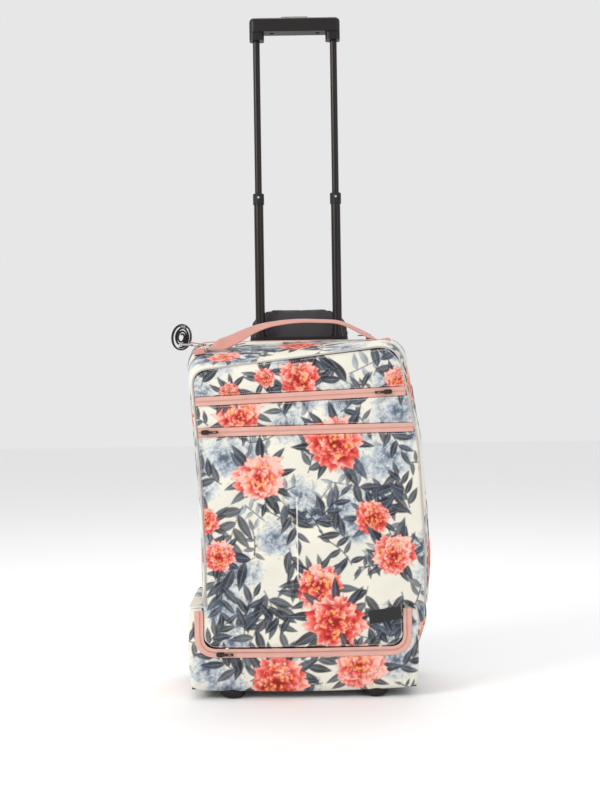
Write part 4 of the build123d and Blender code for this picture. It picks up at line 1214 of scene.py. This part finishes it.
def capped(points, name):
    """A closed-section grid with both ends filled by one face each."""
    piece = surface(name, points, closed=True)
    mesh = piece.data
    bm = bmesh.new()
    bm.from_mesh(mesh)
    ends = [e for e in bm.edges if e.is_boundary]
    bmesh.ops.holes_fill(bm, edges=ends, sides=0)
    bmesh.ops.triangulate(bm, faces=[f for f in bm.faces if len(f.verts) > 4])
    bmesh.ops.recalc_face_normals(bm, faces=bm.faces)
    bm.to_mesh(mesh)
    bm.free()
    return piece


def puff(piece, voxel, pressure, cap, frames=20):
    """Swell a closed piece with Blender's cloth, then cap how far each point may have moved."""
    remesh = piece.modifiers.new("even", "REMESH")
    remesh.mode, remesh.voxel_size = "VOXEL", voxel * MM
    bpy.context.view_layer.update()
    graph = bpy.context.evaluated_depsgraph_get()
    solid = bpy.data.meshes.new_from_object(piece.evaluated_get(graph))
    piece.modifiers.clear()
    piece.data = solid
    rest = np.empty(len(solid.vertices) * 3)
    solid.vertices.foreach_get("co", rest)
    moved = rest
    cloth = piece.modifiers.new("cloth", "CLOTH")
    cloth.settings.use_pressure = True
    cloth.settings.uniform_pressure_force = pressure
    cloth.settings.effector_weights.gravity = 0.0
    cloth.settings.quality = 6
    cloth.point_cache.frame_start, cloth.point_cache.frame_end = 1, frames
    for f in range(1, frames + 1):
        bpy.context.scene.frame_set(f)
    graph = bpy.context.evaluated_depsgraph_get()
    swollen = piece.evaluated_get(graph).data
    moved = np.empty(len(swollen.vertices) * 3)
    swollen.vertices.foreach_get("co", moved)
    piece.modifiers.clear()
    bpy.context.scene.frame_set(1)
    shift = (moved - rest).reshape(-1, 3)
    far = np.linalg.norm(shift, axis=1)[:, None]
    shift *= np.minimum(1.0, cap * MM / np.maximum(far, 1e-9))
    piece.data.vertices.foreach_set("co", (rest.reshape(-1, 3) + shift).ravel())
    piece.data.update()
    print(piece.name, "swelled by up to", round(float(far.max()) * 1000, 1), "mm, capped at", cap)
    return shift


pad = capped(dome(), "rear_pad_cloth")
puff(pad, 2.6, 3.0, 3.0)
co = np.empty(len(pad.data.vertices) * 3)
pad.data.vertices.foreach_get("co", co)
co = co.reshape(-1, 3) * 1000.0
wave = (ripple(co[:, 0] + co[:, 2] * 0.8, co[:, 2] * 1.4, 101, 40.0) * 2.4
        + ripple(co[:, 0] * 0.7, co[:, 2] * 2.4, 102, 24.0) * 1.3)
channel = -1.0 * np.exp(-((np.abs(((co[:, 0] + co[:, 2] * 0.35) / 34.0) % 1.0 - 0.5) - 0.5) / 0.07) ** 2)
middle = (pad_low[1] + pad_high[1]) / 2
co[:, 1] += np.sign(co[:, 1] - middle) * (wave * 0.6 + channel) * ease(np.abs(co[:, 1] - middle) / 1.5)
co[:, 1] = np.maximum(co[:, 1], pad_low[1] - 0.4)
pad.data.vertices.foreach_set("co", (co * MM).ravel())
uv = pad.data.uv_layers.new(name="cloth")
loops = np.empty(len(pad.data.loops), np.int32)
pad.data.loops.foreach_get("vertex_index", loops)
uv.data.foreach_set("uv", (co[loops][:, [0, 2]] * 0.01).astype(np.float32).ravel())
pad.data.polygons.foreach_set("use_smooth", np.ones(len(pad.data.polygons), bool))
fine = pad.modifiers.new("fine", "SUBSURF")
fine.levels = fine.render_levels = 1
finish_piece(pad, DARK_NYLON, "bag", ("rear_pad_flap",))


# %% [markdown]
# ## Straps and label
# Webbing is a flat profile carried along a path. The grab handle bows up over the top; near its left
# end it lies flat on, and it turns edge on towards the middle.

# %% Grab handle
def ribbon(path, width, thick, twist, up=(0.0, 1.0, 0.0), n_across=9):
    """Closed flat band: across = the up vector turned by twist about the path, with rounded edges."""
    run = np.gradient(path, axis=0)
    run /= np.linalg.norm(run, axis=1)[:, None]
    across = np.tile(np.array(up), (len(path), 1))
    across -= np.sum(across * run, axis=1)[:, None] * run
    across /= np.linalg.norm(across, axis=1)[:, None]
    face = np.cross(run, across)
    c, s = np.cos(twist)[:, None], np.sin(twist)[:, None]
    a, f = across * c + face * s, face * c - across * s
    w = np.linspace(-0.5, 0.5, n_across)
    half_t = thick / 2 * (1 - (2 * np.abs(w)) ** 6 * 0.7)
    upper = np.column_stack([w * width, half_t])
    profile = np.concatenate([upper, upper[::-1] * [1, -1]])
    return path[:, None] + a[:, None] * profile[None, :, :1] + f[:, None] * profile[None, :, 1:], profile


def smooth_path(points, count):
    """A smooth curve near a few points: quadratic corners sampled evenly."""
    pts = rounded(np.array(points, float), np.full(len(points), 400.0), 30, 30)
    run = lengths(pts)
    even = np.linspace(0, run[-1], count)
    return np.stack([np.interp(even, run, pts[:, k]) for k in range(pts.shape[1])], -1), even


def strap_piece(name, path, along, width, thick, twist, material, body, nodes):
    points, profile = ribbon(path, width, thick, twist)
    across = profile[:, 0]
    flat = np.stack(np.broadcast_arrays(along[:, None], across[None]), -1)
    edge = np.broadcast_to(width / 2 - np.abs(across), flat.shape[:2])
    piece = capped_strap(points, name, flat, edge)
    return finish_piece(piece, material, body, nodes)


def capped_strap(points, name, flat, edge):
    """Strap surface closed round its section, with the two cut ends folded shut."""
    first = np.repeat(points[:1].mean(axis=1, keepdims=True), points.shape[1], axis=1)
    last = np.repeat(points[-1:].mean(axis=1, keepdims=True), points.shape[1], axis=1)
    whole = np.concatenate([first, points, last])
    flat = np.concatenate([flat[:1], flat, flat[-1:]])
    edge = np.concatenate([edge[:1], edge, edge[-1:]])
    return surface(name, whole, closed=True, flip=True, flat=flat, extra={"edge": edge})


grab_low, grab_high = box("grab_handle")
gy = (grab_low[1] + grab_high[1]) / 2
gl, gr, gt = grab_low[0], grab_high[0], grab_high[2] - 1.6
z_left, z_right = grab_low[2] + 4.0, gt - 33.5
grab_path, along = smooth_path([(gl, gy, z_left), (gl + 34, gy, z_left + 9), (-62, gy, gt - 7),
                                (-6, gy, gt + 1), (66, gy, gt - 2), (gr - 26, gy, z_right + 14),
                                (gr, gy, z_right)], 260)
t = along / along[-1]
twist = mix(1.0, 0.34, ease(t / 0.42)) + 0.08 * np.sin(t * 7.0)
twist *= ease(t / 0.10) * ease((1 - t) / 0.08)
strap_piece("grab_handle_strap", grab_path, along, 24.0, 2.6, twist, PINK_WEBBING, "grab_handle",
            ("grab_handle",))


def anchor(name, solid_low, solid_high, nodes, slope):
    """A sewn webbing end: a flat pad with rounded edges and a raised box of stitches."""
    u, v = grid(30, 26)
    x, y = mix(solid_low[0], solid_high[0], u), mix(solid_low[1], solid_high[1], v)
    edge = np.minimum(np.minimum(x - solid_low[0], solid_high[0] - x),
                      np.minimum(y - solid_low[1], solid_high[1] - y))
    top = mix(solid_high[2] - slope, solid_high[2], u if slope > 0 else 1 - u)
    z = top - 9.0 * np.exp(-edge / 0.9) + 0.0 * x
    z = np.where(edge < 0.01, top - 10.0, z)
    piece = surface(name, np.stack([x, y, z], -1), flat=np.stack([x, y], -1), extra={"edge": edge})
    return finish_piece(piece, PINK_WEBBING, "cover", nodes)


anchor_low, anchor_high = box("handle_anchors")
anchor_width = 17.4
anchor("grab_anchor_left", [anchor_low[0], anchor_low[1], 0],
       [anchor_low[0] + anchor_width, anchor_high[1], z_left + 2.5], ("handle_anchors",), 3.0)
anchor("grab_anchor_right", [anchor_high[0] - anchor_width, anchor_low[1], 0],
       [anchor_high[0], anchor_high[1], z_right + 2.5], (), -3.0)

# %% Ring tab, strap loop and label
tab_low, tab_high = box("ring_tab")
ty, tw = (tab_low[1] + tab_high[1]) / 2, tab_high[1] - tab_low[1]
rz, rx = tab_high[2] - 2.8, tab_low[0] + 4.0
tab_path, along = smooth_path([(tab_high[0], ty, rz - 3.8), (rx + 6, ty, rz - 3.4),
                               (rx - 4.2, ty, rz - 2.6), (rx - 3.4, ty, rz + 2.8),
                               (rx + 6, ty, rz + 1.2), (tab_high[0] - 1, ty, rz - 1.4)], 90)
strap_piece("ring_tab_strap", tab_path, along, tw, 1.5, np.zeros(90), PINK_WEBBING, "cover",
            ("ring_tab",))
loop_low, loop_high = box("strap_loop")
ly, lw = (loop_low[1] + loop_high[1]) / 2, loop_high[1] - loop_low[1]
mid_x, mid_z = (loop_low[0] + loop_high[0]) / 2, (loop_low[2] + loop_high[2]) / 2


def roll(long, wide, turns, count, wind, skew):
    """Rolled strap: an ellipse leaning right that winds inwards, skewed so that its face shows."""
    a = np.linspace(0, 2 * np.pi * turns, count)
    less = 1 - wind * a / (2 * np.pi * turns)
    px, pz = less * wide / 2 * np.sin(a), -less * long / 2 * np.cos(a)
    lean = math.radians(10.0)
    return np.column_stack([mid_x + px * math.cos(lean) + pz * math.sin(lean),
                            ly + skew * np.sin(a + 0.6) * less,
                            mid_z - px * math.sin(lean) + pz * math.cos(lean)])


STRAPS = (("side_strap_loop", 40.0, 29.0, 1.0, 2.6, 0.0, ("strap_loop",)),
          ("side_strap_roll", 33.0, 22.0, 2.6, 2.4, 0.72, ()))
for name, long, wide, turns, thick, wind, nodes in STRAPS:
    path = roll(long, wide, turns * 0.99, 260, wind, 5.0)
    strap_piece(name, path, lengths(path), lw + 3.0, thick, np.zeros(260), BLACK_WEBBING, "side_ring",
                nodes)

label_low, label_high = box("blank_label")
u, v = grid(70, 34)
lx, lz = (u - 0.5) * 50.0, (v - 0.5) * 20.0
edge = np.minimum(25.0 - np.abs(lx), 10.0 - np.abs(lz))
tilt = math.radians(8.0)
mid = (label_low + label_high) / 2
x = mid[0] + lx * math.cos(tilt) - lz * math.sin(tilt)
z = mid[2] + lx * math.sin(tilt) + lz * math.cos(tilt)
near_seam = ease((z - flap_high[2] + 26.0) / 26.0)
left, right = face_point(0.0 * x, bottom_z + 0 * z), face_point(1.0 + 0 * x, bottom_z + 0 * z)
stand = swell(x, z, mix(x - flap_low[0], x - left, near_seam), mix(flap_high[0] - x, right - x, near_seam))
y = face_y + 1.6 - np.maximum(stand, 1.2) - 1.3 + 0.7 * np.exp(-edge / 0.8)
LABEL = webbing("label_weave", (30, 30, 32), 1.2)
label = surface("blank_label_patch", np.stack([x, y, z], -1), flat=np.stack([lx, lz], -1),
                extra={"edge": edge})
finish_piece(label, LABEL, "base_flap", ("blank_label",), 0.8)
print(len(made), "cloth pieces:", ", ".join(made))

# %% [markdown]
# ## Studio
# A wide pale floor under a white sky, a large soft light from the left and front, a weaker fill from
# the right. The camera stands low, level with the middle of the bag and handle.

# %% Floor, lights and camera
FLOOR = 9000.0
u, v = grid(24, 24)
floor = surface("studio_floor", np.stack([mix(-FLOOR, FLOOR, u), mix(-FLOOR, FLOOR, v), 0.0 * u], -1))
f = Finish("pale_floor", Roughness=0.9)
f.wire(Base_Color=f.blend("MIX", f.noise(2.0, 2.0, 0.5) * 0.3, light(250, 250, 250), light(244, 244, 244)))
floor.data.materials.append(f.material)

world = bpy.data.worlds.new("studio")
bpy.context.scene.world = world
world.use_nodes = True
world.node_tree.nodes["Background"].inputs[0].default_value = (1.0, 1.0, 1.0, 1.0)
world.node_tree.nodes["Background"].inputs[1].default_value = 0.80


def soft_light(name, place, aim, size, power, tint=(1, 1, 1)):
    data = bpy.data.lights.new(name, "AREA")
    data.shape, data.size, data.energy, data.color = "SQUARE", size, power, tint
    lamp = bpy.data.objects.new(name, data)
    bpy.context.scene.collection.objects.link(lamp)
    lamp.location = place
    way = np.array(aim) - np.array(place)
    flat = math.hypot(way[0], way[1])
    lamp.rotation_euler = (math.atan2(flat, -way[2]), 0.0, math.atan2(way[1], way[0]) - math.pi / 2)


soft_light("key", (-2.1, -1.7, 1.7), (0, 0, 0.4), 1.1, 40.0, (1.0, 0.98, 0.94))
soft_light("fill", (1.9, -1.7, 0.9), (0, 0, 0.4), 1.6, 8.0, (0.95, 0.97, 1.0))
soft_light("over", (0.2, 0.9, 2.4), (0, 0, 0.5), 1.2, 14.0)

FOCAL_PX, EYE, TURN, ROLL, TIP = 1286.0, 0.473, 0.0, 0.85, 0.45
camera = bpy.data.cameras.new("camera")
camera.sensor_fit, camera.sensor_width = "HORIZONTAL", 36.0
camera.lens = FOCAL_PX / 600.0 * 36.0
eye = bpy.data.objects.new("camera", camera)
bpy.context.scene.collection.objects.link(eye)
reach = 2.061
eye.location = (reach * math.sin(math.radians(TURN)), -reach * math.cos(math.radians(TURN)), EYE)
eye.rotation_euler = (Matrix.Rotation(math.radians(TURN), 3, "Z")
                      @ Matrix.Rotation(math.radians(90 - TIP), 3, "X")
                      @ Matrix.Rotation(math.radians(-ROLL), 3, "Z")).to_euler()
bpy.context.scene.camera = eye
bpy.context.scene.view_settings.view_transform = "Standard"
